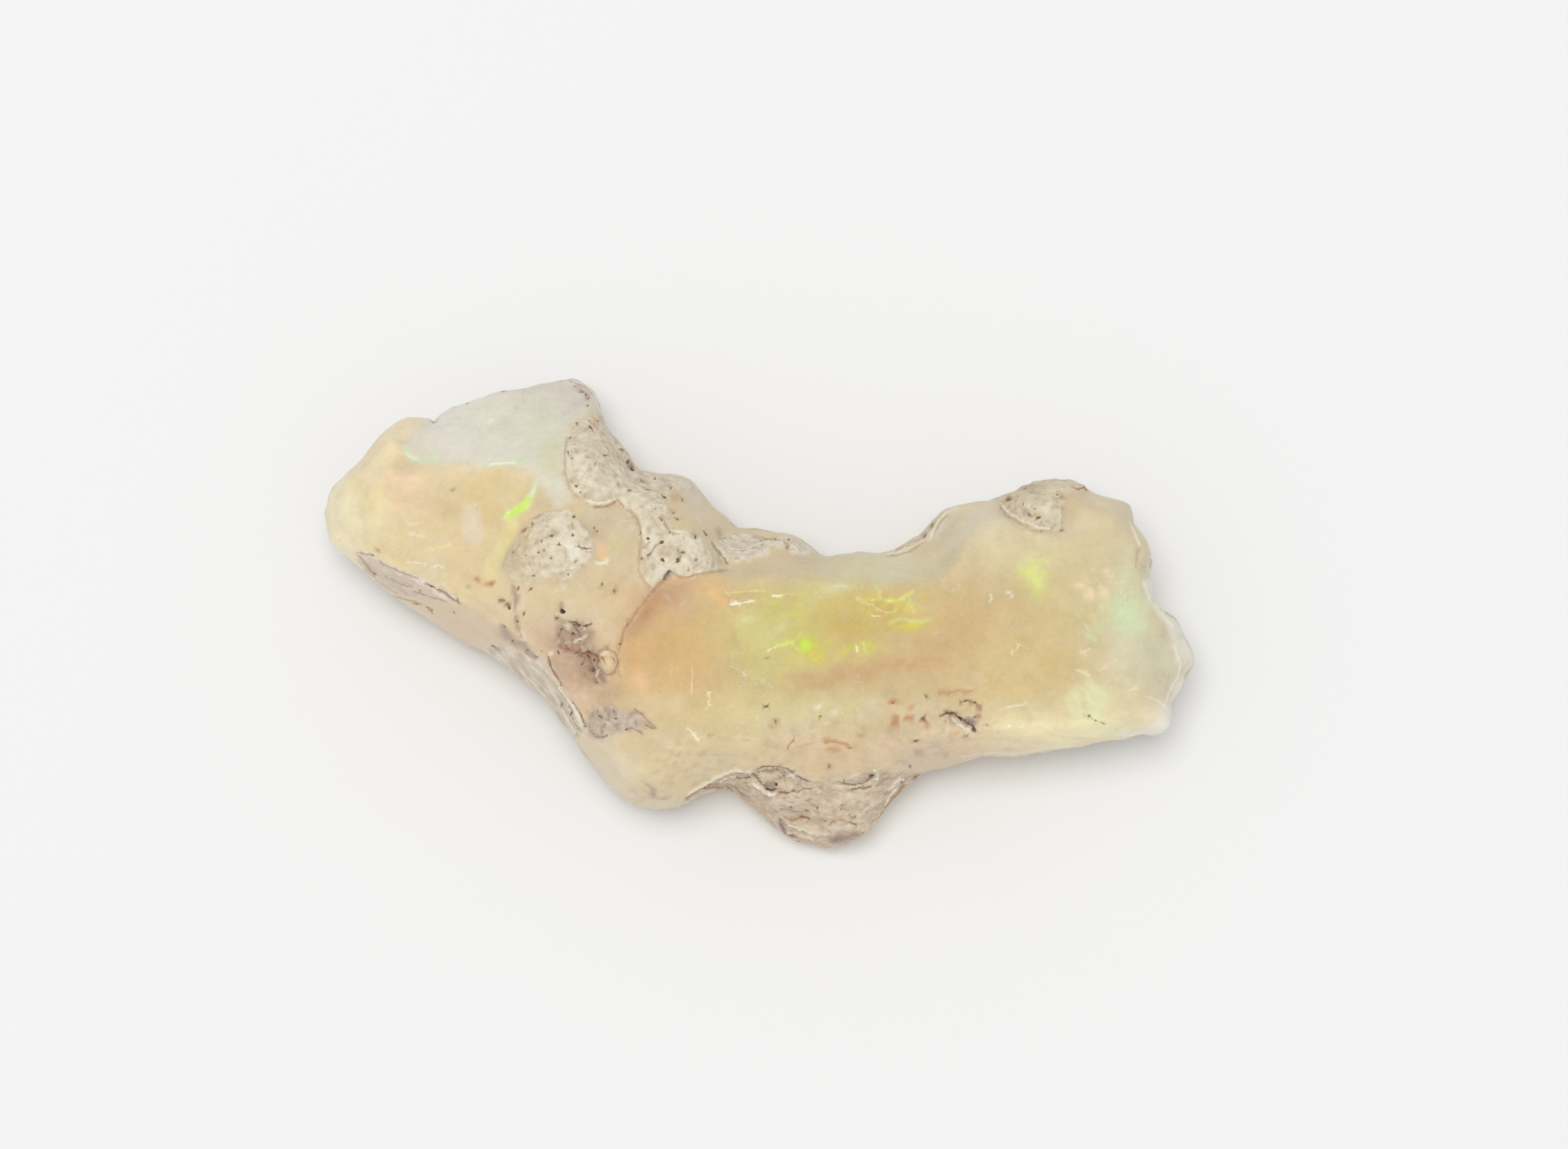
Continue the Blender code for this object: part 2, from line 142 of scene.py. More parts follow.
# %% [markdown]
# ## Where the host rock is
# Opal grows in cracks of a pale volcanic rock, and plates of that rock stay stuck to the rough stone.
# They end in crisp, chipped borders. Each plate is an outline here; it is raised, grained and coloured
# further down. The zones in the second table are skins: weathered, rough places that hardly stand up.

# %% Outlines of the rock plates
ROCK_PLATES = {
    "flap": [
        (-6.45, 6.5), (-6.6, 6.1), (-6.68, 5.7), (-6.72, 5.2), (-6.7, 4.7), (-6.55, 4.3), (-6.2, 3.95),
        (-5.75, 3.74), (-5.35, 3.76), (-5.0, 3.86), (-4.7, 4.1), (-4.3, 4.5), (-4.2, 5.0), (-4.5, 5.8),
        (-5.2, 6.6), (-5.5, 6.9), (-5.9, 6.75),
    ],
    "island": [
        (-7.95, 3.2), (-7.6, 3.42), (-7.2, 3.5), (-6.8, 3.52), (-6.5, 3.58), (-6.3, 3.3), (-6.0, 2.95),
        (-5.8, 2.5), (-5.72, 2.1), (-6.0, 1.65), (-6.4, 1.35), (-6.75, 1.15), (-7.1, 1.35), (-7.5, 1.2),
        (-8.0, 1.15), (-8.4, 1.1), (-8.75, 1.25), (-8.9, 1.6), (-8.75, 2.0), (-8.5, 2.4), (-8.25, 2.8),
    ],
    "shelf": [
        (-4.95, 3.95), (-4.6, 3.65), (-4.25, 3.4), (-4.1, 3.0), (-4.05, 2.4), (-4.1, 1.6), (-3.95, 1.1),
        (-3.7, 0.95), (-3.3, 1.15), (-3.05, 1.45), (-2.8, 1.28), (-2.4, 1.22), (-2.1, 1.38),
        (-1.7, 1.42), (-1.2, 1.5), (-1.35, 1.75), (-1.6, 2.1), (-1.95, 2.3), (-2.05, 2.65), (-2.5, 2.8),
        (-3.05, 2.85), (-3.15, 3.3), (-3.25, 3.8), (-3.1, 4.2), (-2.4, 4.25), (-2.05, 4.2), (-2.2, 4.7),
        (-3.0, 5.0), (-4.2, 5.0), (-4.5, 4.6),
    ],
    "strip": [
        (-1.55, 2.45), (-1.2, 2.65), (-0.8, 2.75), (-0.2, 2.68), (0.5, 2.62), (1.0, 2.62), (1.5, 2.4),
        (1.95, 2.05), (1.6, 1.95), (1.2, 2.0), (1.0, 2.25), (0.6, 2.3), (0.2, 2.0), (-0.2, 1.85),
        (-0.8, 1.75), (-1.15, 1.8), (-1.5, 2.1),
    ],
    "far patch": [
        (8.2, 3.85), (8.5, 4.3), (9.3, 4.6), (10.2, 4.8), (11.2, 4.5), (11.3, 4.25), (10.9, 4.2),
        (10.5, 4.1), (10.42, 3.7), (10.45, 3.2), (10.4, 2.9), (10.0, 2.82), (9.6, 2.85), (9.2, 3.05),
        (8.75, 3.3), (8.4, 3.55),
    ],
}

SKINS = {
    "knob": [
        (-2.6, -6.55), (-1.9, -6.0), (-1.0, -5.45), (-0.3, -5.35), (0.1, -5.2), (0.7, -5.2),
        (1.3, -5.5), (1.9, -5.8), (2.6, -5.6), (3.2, -5.6), (4.0, -5.35), (4.6, -5.5), (5.1, -5.5),
        (5.6, -5.5), (4.9, -6.4), (4.2, -7.4), (3.6, -8.3), (1.5, -8.3), (0.4, -7.6), (-1.0, -6.9),
    ],
    "rough hollow": [
        (-7.0, -0.2), (-6.6, -0.25), (-6.0, -0.3), (-5.7, -0.65), (-5.85, -1.1), (-5.55, -1.35),
        (-5.4, -2.0), (-5.25, -2.45), (-5.7, -2.45), (-6.0, -2.1), (-6.1, -1.65), (-6.6, -1.45),
        (-6.9, -1.25), (-7.05, -0.8),
    ],
    "mauve foot": [
        (-5.65, -3.2), (-5.2, -3.15), (-4.7, -3.4), (-4.35, -3.3), (-4.0, -3.6), (-3.7, -3.75),
        (-3.55, -3.98), (-3.95, -3.95), (-4.3, -4.0), (-4.6, -4.1), (-5.0, -4.15), (-5.3, -4.35),
        (-5.7, -4.38), (-5.95, -4.1), (-6.0, -3.7), (-5.9, -3.4),
    ],
    "green slope": [
        (-9.4, -1.15), (-8.8, -1.0), (-8.2, -1.35), (-7.6, -1.5), (-7.2, -1.95), (-6.9, -2.5),
        (-6.5, -3.0), (-6.2, -3.5), (-6.0, -3.9), (-6.1, -4.3), (-6.7, -4.4), (-7.4, -3.4), (-9.2, -1.8),
    ],
    "mauve band": [
        (-13.95, 2.15), (-13.4, 2.05), (-13.0, 1.75), (-12.5, 1.58), (-11.9, 1.38), (-11.3, 1.05),
        (-10.7, 0.72), (-10.3, 0.38), (-10.8, 0.42), (-11.3, 0.5), (-11.8, 0.55), (-12.3, 0.55),
        (-12.8, 0.75), (-13.2, 1.05), (-13.55, 1.35), (-13.8, 1.7),
    ],
    "sliver": [
        (4.3, 2.0), (4.9, 2.05), (5.4, 2.3), (5.8, 2.5), (6.1, 2.9), (6.6, 3.3), (6.8, 3.7), (6.3, 3.7),
        (5.6, 3.1), (4.8, 2.5),
    ],
}

# %% [markdown]
# ## Pits, cracks, lips, glints and streaks
# The rock has pores of a tenth to a third of a millimetre, dark inside, and thin cracks run along its
# borders. The opal has short scratches, and the glints where they catch the light are painted highlights.
# They are listed with their places, because the eye knows a stone by just such marks. A pit is a place,
# a radius, a depth and a turn of its longer side. A crack is a line with its width and depth, and a few
# of these lines are painted shade at a raised edge. A lip is a line that stands up, laid white as a
# painted highlight. A glint or streak is colour alone. Chips are nicks along the outline. The last table
# says where the brightest flashes are, because a crisp border of colour needs small faces as much as a
# pit does.

# %% Places of the pits and lines
PITS = [
    # x, y, radius, depth, stretch, and turn if there is one
    (-7.85, 3.1, 0.07, 0.06, 1.5, 60), (-8.1, 2.85, 0.07, 0.05, 2.0, 60),
    (-7.15, 2.66, 0.07, 0.05, 1.6, 40), (-7.5, 2.5, 0.05, 0.05, 1.4, 40),
    (-6.45, 2.68, 0.06, 0.05, 1.3, 30), (-6.1, 2.25, 0.07, 0.06, 4.0, -14),
    (-6.35, 1.8, 0.1, 0.07, 1.3, 40), (-8.5, 2.1, 0.08, 0.04, 1.5), (-7.8, 1.3, 0.06, 0.04, 1.5),
    (-6.4, 3.35, 0.08, 0.05, 1.5, 60), (-3.32, 4.0, 0.09, 0.08, 2.2, -40), (-2.95, 3.48, 0.06, 0.07, 1.3),
    (-2.82, 3.25, 0.06, 0.06, 1.4), (-3.6, 3.58, 0.06, 0.05, 1.3), (-3.42, 3.2, 0.05, 0.06, 3.0, -55),
    (-3.83, 2.58, 0.07, 0.07, 1.5, -40), (-3.38, 2.44, 0.08, 0.06, 2.0, 20),
    (-2.24, 2.6, 0.06, 0.07, 2.2, 70), (-1.85, 2.75, 0.07, 0.07, 3.0, -52),
    (-2.65, 2.1, 0.08, 0.06, 2.0, -10), (-2.2, 1.85, 0.08, 0.04, 1.5, 30),
    (-2.82, 1.82, 0.08, 0.06, 2.4, 60), (-3.35, 1.84, 0.08, 0.08, 2.0, -45),
    (-3.8, 2.05, 0.06, 0.05, 2.6, 60), (-4.05, 4.55, 0.08, 0.05, 2.0, -20),
    (-3.85, 4.26, 0.08, 0.05, 2.6, -20), (-4.5, 4.2, 0.08, 0.04, 1.8), (-3.1, 4.3, 0.06, 0.05, 1.8, -50),
    (-2.65, 3.9, 0.07, 0.04, 1.4), (-4.05, 1.9, 0.06, 0.04, 1.4, 30), (-5.7, 2.95, 0.06, 0.04, 1.4, 80),
    (-5.6, 2.85, 0.05, 0.04, 1.2), (-4.1, 2.8, 0.06, 0.05, 1.8, -60), (-5.35, 5.42, 0.08, 0.05, 2.0, 10),
    (-5.7, 5.14, 0.05, 0.04, 2.0, 85), (-6.32, 4.38, 0.08, 0.06, 1.4, -30),
    (-6.58, 5.5, 0.06, 0.04, 2.0, 85), (-5.82, 6.35, 0.06, 0.05, 3.6, -60),
    (-6.55, 6.05, 0.06, 0.04, 2.5, 70), (-6.3, 6.5, 0.07, 0.03, 1.6, 60),
    (-4.8, 5.6, 0.06, 0.05, 2.4, -50), (-4.58, 5.2, 0.11, 0.07, 1.2, 80),
    (-4.4, 4.95, 0.12, 0.08, 1.3, -60), (0.1, 2.62, 0.07, 0.06, 1.2), (0.55, 2.55, 0.05, 0.05, 1.2),
    (1.0, 2.52, 0.06, 0.05, 1.3, 60), (0.1, 2.35, 0.07, 0.04, 2.4, 25), (0.95, 2.28, 0.07, 0.04, 2.0, 25),
    (-6.35, 7.85, 0.05, 0.03, 1.2), (-6.12, 7.66, 0.09, 0.04, 1.4, -30), (-5.98, 7.55, 0.07, 0.06, 1.2),
    (-5.9, 7.43, 0.06, 0.05, 1.2), (-5.92, 7.18, 0.08, 0.06, 1.2), (-7.15, 8.03, 0.07, 0.04, 1.6, 10),
    (-6.8, 0.07, 0.13, 0.16, 1.3, -30), (-8.65, 0.18, 0.06, 0.05, 1.6, -60),
    (-8.35, 0.85, 0.07, 0.05, 2.4, 60), (-7.9, 0.87, 0.06, 0.05, 1.6, 40),
    (-8.15, 0.0, 0.07, 0.05, 2.4, 80), (-8.35, -0.28, 0.06, 0.05, 1.5),
    (-5.45, 1.02, 0.07, 0.03, 2.0, -70), (-5.02, 0.8, 0.06, 0.03, 1.6, -60),
    (-11.7, 0.8, 0.08, 0.05, 1.5), (-11.3, 0.9, 0.05, 0.05, 3.2, -8),
    (-10.45, 0.45, 0.05, 0.05, 3.0, -55), (-13.35, 2.0, 0.05, 0.04, 2.4, -10),
    (-11.33, 0.14, 0.05, 0.06, 3.0, -50), (-11.85, 0.33, 0.05, 0.04, 4.0, -15),
    (-10.55, 0.02, 0.06, 0.04, 1.6, -50), (-13.3, 1.35, 0.07, 0.04, 2.2, -20),
    (-9.2, -1.15, 0.06, 0.04, 2.0, -40), (-7.65, -2.7, 0.06, 0.04, 2.2, -30),
    (-6.82, -3.15, 0.06, 0.04, 2.4, 80), (-6.5, -3.45, 0.06, 0.05, 2.2, 80),
    (-7.52, -1.32, 0.05, 0.04, 1.2), (-5.05, -3.37, 0.06, 0.05, 1.8, -60),
    (-5.5, -3.57, 0.07, 0.05, 1.6, -30), (-4.58, -4.02, 0.06, 0.05, 1.3), (-4.95, -3.62, 0.05, 0.04, 1.5),
    (-6.35, -0.45, 0.09, 0.07, 2.4, -10), (-6.0, -0.42, 0.07, 0.06, 1.8, 30),
    (-5.95, -1.5, 0.09, 0.08, 1.6, -20), (-5.72, -1.62, 0.07, 0.08, 1.4, 60),
    (-5.8, -1.95, 0.08, 0.07, 1.6, -70), (-6.1, -1.75, 0.06, 0.05, 1.5, 20),
    (-5.62, -2.4, 0.06, 0.05, 1.6, -50), (-6.5, -0.75, 0.06, 0.05, 1.6, 40),
    (-6.85, -0.6, 0.06, 0.05, 1.8, 70), (-6.7, -1.1, 0.06, 0.05, 1.5, -20),
    (-6.35, -1.35, 0.06, 0.05, 1.6, 10), (-6.95, -1.35, 0.07, 0.06, 1.8, -60),
    (-5.42, -1.55, 0.05, 0.05, 2.4, -60), (-5.05, -1.62, 0.05, 0.04, 1.4, 80),
    (0.22, -3.22, 0.08, 0.07, 1.3), (0.25, -1.55, 0.04, 0.02, 1.0), (2.1, -3.56, 0.05, 0.03, 1.2),
    (0.55, -3.73, 0.05, 0.03, 1.3, 60), (2.38, -5.3, 0.07, 0.05, 1.3, 40),
    (5.38, -4.42, 0.08, 0.06, 1.5, 20), (5.75, -2.87, 0.05, 0.04, 1.6, 60),
    (7.85, -3.88, 0.05, 0.03, 1.2), (11.37, -3.54, 0.05, 0.04, 1.2), (6.95, -3.66, 0.06, 0.07, 2.4, -25),
    (7.4, -4.04, 0.07, 0.07, 1.8, 50), (7.42, -3.6, 0.06, 0.05, 1.5, 30), (7.1, -3.03, 0.06, 0.05, 1.6),
    (7.44, -3.08, 0.05, 0.05, 1.4), (7.17, -4.22, 0.05, 0.04, 1.8, 60),
    (6.42, -3.72, 0.05, 0.04, 1.4, -30), (5.62, -3.62, 0.06, 0.04, 1.8, 20),
    (4.6, -3.1, 0.05, 0.04, 1.8, 10), (0.58, -5.92, 0.07, 0.08, 1.3, 60),
    (0.2, -6.08, 0.05, 0.05, 2.0, -50), (0.62, -5.42, 0.07, 0.05, 1.6, -35),
    (0.85, -5.6, 0.06, 0.05, 2.0, -50), (-0.05, -5.36, 0.05, 0.04, 1.2), (0.27, -5.31, 0.04, 0.04, 1.2),
    (0.48, -5.29, 0.05, 0.04, 1.4), (-0.04, -5.5, 0.05, 0.04, 1.2), (3.9, -5.6, 0.09, 0.1, 1.6, 50),
    (3.74, -5.74, 0.08, 0.06, 1.8, 30), (2.9, -5.8, 0.05, 0.04, 1.6, 80),
    (5.4, -5.62, 0.05, 0.05, 3.0, 25), (4.92, -5.85, 0.07, 0.05, 1.3, 80), (0.78, -6.78, 0.05, 0.04, 1.4),
    (1.08, -6.7, 0.05, 0.04, 1.6, 20), (1.3, -6.8, 0.05, 0.04, 1.4, 60), (1.62, -6.84, 0.06, 0.04, 1.8),
    (2.0, -6.72, 0.05, 0.04, 2.0, 80), (2.8, -6.78, 0.06, 0.04, 1.5, 20),
    (2.85, -6.63, 0.05, 0.04, 1.4, 40), (3.1, -6.98, 0.06, 0.05, 1.2), (3.28, -7.05, 0.05, 0.04, 1.6, 70),
    (2.25, -7.2, 0.05, 0.04, 1.4), (5.2, -5.3, 0.06, 0.04, 1.8, 80), (8.6, 3.9, 0.08, 0.05, 2.0, 45),
    (9.3, 3.42, 0.07, 0.06, 2.6, -40), (9.65, 3.3, 0.06, 0.06, 1.8, 45), (9.2, 4.25, 0.08, 0.04, 2.6, 10),
    (9.72, 2.82, 0.04, 0.03, 1.2), (10.38, 2.88, 0.05, 0.03, 1.2), (5.7, 2.7, 0.08, 0.06, 2.0, 50),
    (5.93, 3.05, 0.07, 0.05, 1.4, 60), (9.6, 3.35, 0.06, 0.05, 1.8, -10),
    (9.5, 3.6, 0.05, 0.04, 1.6, -40), (8.3, 3.62, 0.05, 0.03, 1.4), (-5.62, 6.6, 0.05, 0.03, 1.6, 30),
    (-4.3, 4.55, 0.05, 0.04, 1.4), (-3.62, 4.62, 0.05, 0.04, 1.4, 30), (-3.1, 2.75, 0.05, 0.04, 1.4),
    (-7.6, 2.1, 0.05, 0.04, 1.4), (-7.2, 1.9, 0.05, 0.04, 1.5, 40), (-6.9, 2.35, 0.05, 0.04, 1.4),
    (-7.35, 3.3, 0.05, 0.04, 1.4), (-6.6, 1.35, 0.05, 0.04, 1.4), (-2.45, 1.5, 0.05, 0.03, 1.4),
    (-7.0, -0.17, 0.06, 0.05, 1.4, 60), (-8.83, -0.5, 0.06, 0.04, 1.5, -50),
    (-8.55, -0.98, 0.07, 0.04, 1.6, -30), (-8.05, -1.3, 0.07, 0.04, 1.6, -50),
    (-7.75, -1.5, 0.05, 0.04, 2.0, -20), (-10.1, 7.25, 0.05, 0.03, 1.4, 20),
    (-8.85, 7.66, 0.05, 0.03, 1.6), (-6.17, 7.62, 0.05, 0.04, 1.2), (3.14, -4.65, 0.04, 0.04, 1.2),
]

CRACKS_AND_SHADE_LINES = [
    # colour, strength, width, depth, corners
    ("brown tan", 0.6, 0.06, 0.04, [(-1.1, 1.5), (-1.7, 1.42), (-2.1, 1.36), (-2.4, 1.24),
     (-2.8, 1.26), (-3.0, 1.4)]),
    ("arc brown", 0.5, 0.06, 0.03, [(-3.35, 1.1), (-3.7, 0.8), (-3.95, 0.4), (-4.2, 0.1), (-4.4, -0.2),
     (-4.65, -0.5), (-4.78, -1.0)]),
    ("russet", 0.4, 0.05, 0.03, [(-4.78, -1.0), (-4.9, -1.6), (-4.85, -2.1)]),
    ("plum", 0.9, 0.09, 0.05, [(-3.3, 1.18), (-3.22, 1.3), (-3.1, 1.44)]),
    ("dark", 0.7, 0.04, 0.03, [(-3.32, 1.2), (-3.2, 1.36), (-3.12, 1.46)]),
    ("brown", 0.9, 0.05, 0.05, [(-7.3, -1.5), (-7.2, -1.9), (-6.9, -2.35), (-6.75, -2.7),
     (-6.4, -3.15), (-6.15, -3.55), (-6.02, -3.9)]),
    ("ash", 0.9, 0.05, 0.04, [(-6.6, -3.2), (-6.46, -3.44), (-6.42, -3.7), (-6.25, -4.0)]),
    ("russet", 0.9, 0.07, 0.09, [(-2.5, -6.4), (-2.1, -6.12), (-1.8, -5.94), (-1.44, -5.93),
     (-1.14, -5.88), (-0.84, -6.0), (-0.63, -6.24)]),
    ("brown", 0.5, 0.05, 0.04, [(-1.9, -6.05), (-1.5, -6.02), (-1.15, -5.98), (-0.95, -6.1)]),
    # This line is painted shadow under the white lip above it.
    ("brown", 0.9, 0.06, 0.07, [(-1.05, -5.62), (-0.7, -5.68), (-0.36, -5.7)]),
    ("olive brown", 0.8, 0.08, 0.06, [(-0.3, -5.52), (-0.06, -5.72), (0.12, -5.94), (0.3, -6.1)]),
    ("olive brown", 0.9, 0.04, 0.04, [(-0.08, -5.36), (0.2, -5.3), (0.5, -5.28), (0.96, -5.37),
     (1.26, -5.6), (1.44, -5.73), (1.74, -5.81)]),
    ("ash", 0.8, 0.05, 0.04, [(0.5, -5.5), (0.75, -5.68), (1.0, -5.74), (1.2, -5.66)]),
    ("brown", 0.8, 0.05, 0.05, [(0.66, -6.17), (0.95, -6.19), (1.2, -6.14)]),
    ("brown", 0.6, 0.04, 0.04, [(1.32, -6.15), (1.56, -6.06), (1.77, -6.07)]),
    ("dark", 0.7, 0.05, 0.05, [(0.25, -6.1), (0.42, -6.12), (0.55, -6.05)]),
    ("plum", 0.95, 0.07, 0.07, [(0.7, -7.12), (0.7, -7.26), (0.82, -7.54), (1.0, -7.66), (1.3, -7.74)]),
    ("russet", 0.9, 0.07, 0.05, [(0.9, -7.06), (1.2, -7.14), (1.44, -7.06), (1.72, -7.1)]),
    ("brown", 0.8, 0.05, 0.04, [(1.4, -7.08), (1.56, -7.06), (1.7, -7.12)]),
    ("russet", 0.7, 0.05, 0.04, [(2.46, -7.29), (2.7, -7.14), (3.0, -7.2), (3.3, -7.3)]),
    ("brown", 0.7, 0.05, 0.04, [(3.1, -7.24), (3.34, -7.32)]),
    ("russet", 0.9, 0.08, 0.06, [(5.0, -6.0), (4.5, -6.5), (4.3, -6.85), (4.05, -7.3), (3.85, -7.5)]),
    ("brown", 0.9, 0.05, 0.05, [(6.22, -3.55), (6.5, -3.44), (6.7, -3.42), (6.82, -3.55)]),
    ("dark", 0.95, 0.05, 0.07, [(6.88, -3.6), (7.0, -3.66), (7.2, -3.82), (7.36, -3.9), (7.42, -4.06)]),
    ("rust", 0.4, 0.08, 0.02, [(6.2, -2.72), (6.5, -2.78), (6.8, -2.66), (7.1, -2.7), (7.35, -2.68)]),
    ("brown", 0.6, 0.08, 0.04, [(6.95, -3.06), (7.2, -3.0), (7.45, -3.1), (7.6, -3.25)]),
    ("rust", 0.6, 0.05, 0.04, [(-5.7, 3.66), (-5.35, 3.68), (-5.05, 3.8), (-4.88, 3.92)]),
    ("brown", 0.7, 0.04, 0.04, [(-4.92, 3.95), (-4.75, 3.78), (-4.6, 3.56)]),
    # This line is painted shade along the left edge of the raised shelf.
    ("brown tan", 0.7, 0.09, 0.03, [(-4.5, 3.55), (-4.25, 3.3), (-4.15, 3.0), (-4.12, 2.75)]),
    ("brown tan", 0.5, 0.06, 0.03, [(-4.1, 2.7), (-4.15, 2.1), (-4.2, 1.5), (-4.0, 1.1), (-3.75, 0.9)]),
    ("brown tan", 0.5, 0.05, 0.03, [(-6.66, 6.1), (-6.72, 5.5), (-6.72, 4.9), (-6.55, 4.3),
     (-6.25, 3.98)]),
    ("rust", 0.8, 0.04, 0.03, [(0.95, -4.68), (1.0, -4.55), (1.14, -4.42), (1.2, -4.3), (1.26, -4.2)]),
    ("rust", 0.6, 0.07, 0.02, [(2.25, -4.46), (2.6, -4.42), (2.9, -4.5), (3.08, -4.58)]),
    ("brown tan", 0.5, 0.05, 0.02, [(1.4, -4.6), (1.7, -4.52), (1.95, -4.45)]),
    # This wide grey line is painted shade below the raised far patch.
    ("grey tan", 0.7, 0.14, 0.04, [(8.35, 3.5), (8.7, 3.15), (9.2, 2.88), (9.7, 2.76), (10.1, 2.76)]),
    ("brown tan", 0.5, 0.05, 0.03, [(8.3, 3.72), (8.5, 3.4), (8.9, 3.12), (9.3, 2.95)]),
    ("brown", 0.8, 0.04, 0.04, [(10.75, 4.3), (10.95, 4.26), (11.15, 4.3), (11.28, 4.22)]),
    ("brown tan", 0.7, 0.04, 0.05, [(4.4, 1.98), (4.75, 2.02), (5.1, 2.12), (5.4, 2.3), (5.7, 2.48)]),
    ("brown tan", 0.6, 0.04, 0.04, [(4.7, 2.2), (5.1, 2.35), (5.45, 2.55), (5.75, 2.8), (6.0, 3.1)]),
    ("ash", 0.5, 0.03, 0.03, [(6.0, 2.75), (6.2, 3.1), (6.5, 3.45)]),
    ("plum", 0.6, 0.05, 0.03, [(-13.86, 2.1), (-13.7, 2.06), (-13.45, 2.02)]),
    ("dark mauve", 0.8, 0.06, 0.03, [(-13.8, 1.98), (-13.55, 1.6), (-13.3, 1.3)]),
    ("dark mauve", 0.7, 0.06, 0.03, [(-13.1, 1.75), (-12.6, 1.5), (-12.2, 1.34), (-11.8, 1.2)]),
    ("plum", 0.8, 0.06, 0.03, [(-11.5, 1.0), (-11.2, 0.84), (-10.9, 0.72), (-10.65, 0.5), (-10.4, 0.36)]),
    ("dark mauve", 0.7, 0.05, 0.03, [(-11.9, 0.75), (-11.5, 0.62), (-11.1, 0.5), (-10.8, 0.4)]),
    ("russet", 0.8, 0.04, 0.03, [(-12.6, 0.6), (-12.3, 0.48), (-11.9, 0.42), (-11.65, 0.3)]),
    ("brown", 0.9, 0.04, 0.05, [(-11.48, 0.24), (-11.38, 0.1), (-11.3, 0.0)]),
    ("ash", 0.6, 0.05, 0.02, [(-12.9, 1.25), (-12.4, 1.0), (-12.0, 0.9)]),
    ("pit brown", 0.9, 0.03, 0.02, [(11.4, -3.58), (11.6, -3.7), (11.75, -3.76), (11.92, -3.85)]),
    ("brown", 0.7, 0.09, 0.06, [(-8.95, 0.46), (-8.8, 0.46)]),
    ("brown", 0.8, 0.1, 0.06, [(-8.7, 0.34), (-8.64, 0.16)]),
    ("shade brown", 0.55, 0.12, 0.04, [(-8.5, 0.95), (-8.4, 0.6), (-8.45, 0.2)]),
    ("shade brown", 0.5, 0.1, 0.04, [(-8.42, -0.1), (-8.4, -0.4), (-8.2, -0.8)]),
    ("ash", 0.8, 0.16, 0.05, [(-8.9, -0.45), (-8.7, -0.78), (-8.5, -1.02), (-8.13, -1.07),
     (-8.0, -1.36), (-7.7, -1.52)]),
    ("brown", 0.9, 0.05, 0.05, [(-6.55, -0.3), (-6.3, -0.4), (-6.05, -0.46), (-5.8, -0.36)]),
    ("russet", 0.9, 0.08, 0.05, [(-6.9, -1.1), (-6.5, -1.25), (-6.2, -1.4), (-5.95, -1.35)]),
    ("brown", 0.9, 0.06, 0.06, [(-6.15, -1.4), (-5.9, -1.36), (-5.62, -1.5), (-5.6, -1.75)]),
    ("russet", 0.8, 0.05, 0.04, [(-5.58, -1.3), (-5.3, -1.2), (-4.98, -1.35), (-4.88, -1.7),
     (-5.0, -2.05), (-5.3, -2.15), (-5.6, -1.95)]),
    ("russet", 0.8, 0.04, 0.03, [(-5.4, -1.5), (-5.34, -1.65), (-5.3, -1.75)]),
    ("russet", 0.8, 0.04, 0.03, [(-5.12, -1.52), (-5.04, -1.62), (-5.0, -1.72)]),
    ("russet", 0.8, 0.04, 0.03, [(-4.35, -3.3), (-4.1, -3.45), (-3.88, -3.68), (-3.72, -3.88),
     (-3.56, -3.97)]),
    ("brown", 0.6, 0.03, 0.03, [(-3.92, -3.85), (-3.75, -3.95), (-3.6, -4.0)]),
    ("russet", 0.8, 0.04, 0.03, [(-4.42, -3.95), (-4.25, -4.02), (-4.05, -4.18)]),
    ("brown", 0.6, 0.04, 0.03, [(-5.8, -4.1), (-5.65, -4.25), (-5.4, -4.3), (-5.25, -4.2)]),
    ("brown", 0.5, 0.04, 0.03, [(-5.6, -3.5), (-5.45, -3.62), (-5.2, -3.7)]),
    ("pit brown", 0.7, 0.04, 0.04, [(2.9, -5.88), (3.2, -5.92), (3.5, -5.85), (3.75, -5.8)]),
    ("olive brown", 0.8, 0.05, 0.04, [(3.18, -6.1), (3.48, -6.04), (3.84, -6.0)]),
    ("pink rim", 0.5, 0.05, 0.01, [(-8.15, 7.75), (-8.2, 7.5), (-8.1, 7.3)]),
    ("dark mauve", 0.9, 0.03, 0.02, [(-7.6, 7.97), (-7.3, 8.04), (-7.0, 8.02), (-6.6, 8.04),
     (-6.05, 7.84), (-5.75, 7.55)]),
    ("shade brown", 0.7, 0.04, 0.04, [(-11.4, 6.9), (-11.25, 6.68), (-11.1, 6.82)]),
    ("ash", 0.7, 0.05, 0.04, [(-3.37, 2.46), (-3.6, 2.3), (-3.7, 2.15), (-3.84, 1.95)]),
    ("ash", 0.7, 0.05, 0.04, [(-2.82, 2.16), (-2.72, 2.0), (-2.75, 1.8), (-2.9, 1.75)]),
    ("ash", 0.5, 0.04, 0.03, [(-3.4, 3.3), (-3.25, 3.0), (-3.1, 2.8), (-2.8, 2.7)]),
    ("ash", 0.5, 0.04, 0.03, [(-4.4, 4.5), (-4.1, 4.35), (-3.9, 4.3)]),
    ("ash", 0.4, 0.04, 0.03, [(-7.6, 2.5), (-7.3, 2.62), (-7.0, 2.75)]),
    ("pit brown", 0.9, 0.03, 0.04, [(-6.4, 2.32), (-6.15, 2.26), (-5.85, 2.22)]),
    ("brown", 0.5, 0.04, 0.03, [(-1.65, 2.45), (-1.5, 2.2), (-1.3, 1.95), (-1.1, 1.72)]),
    ("brown", 0.5, 0.04, 0.03, [(0.0, 2.5), (0.3, 2.58), (0.6, 2.5), (0.95, 2.35)]),
    ("russet", 0.5, 0.03, 0.02, [(13.07, 2.2), (13.0, 1.9), (12.98, 1.6)]),
]

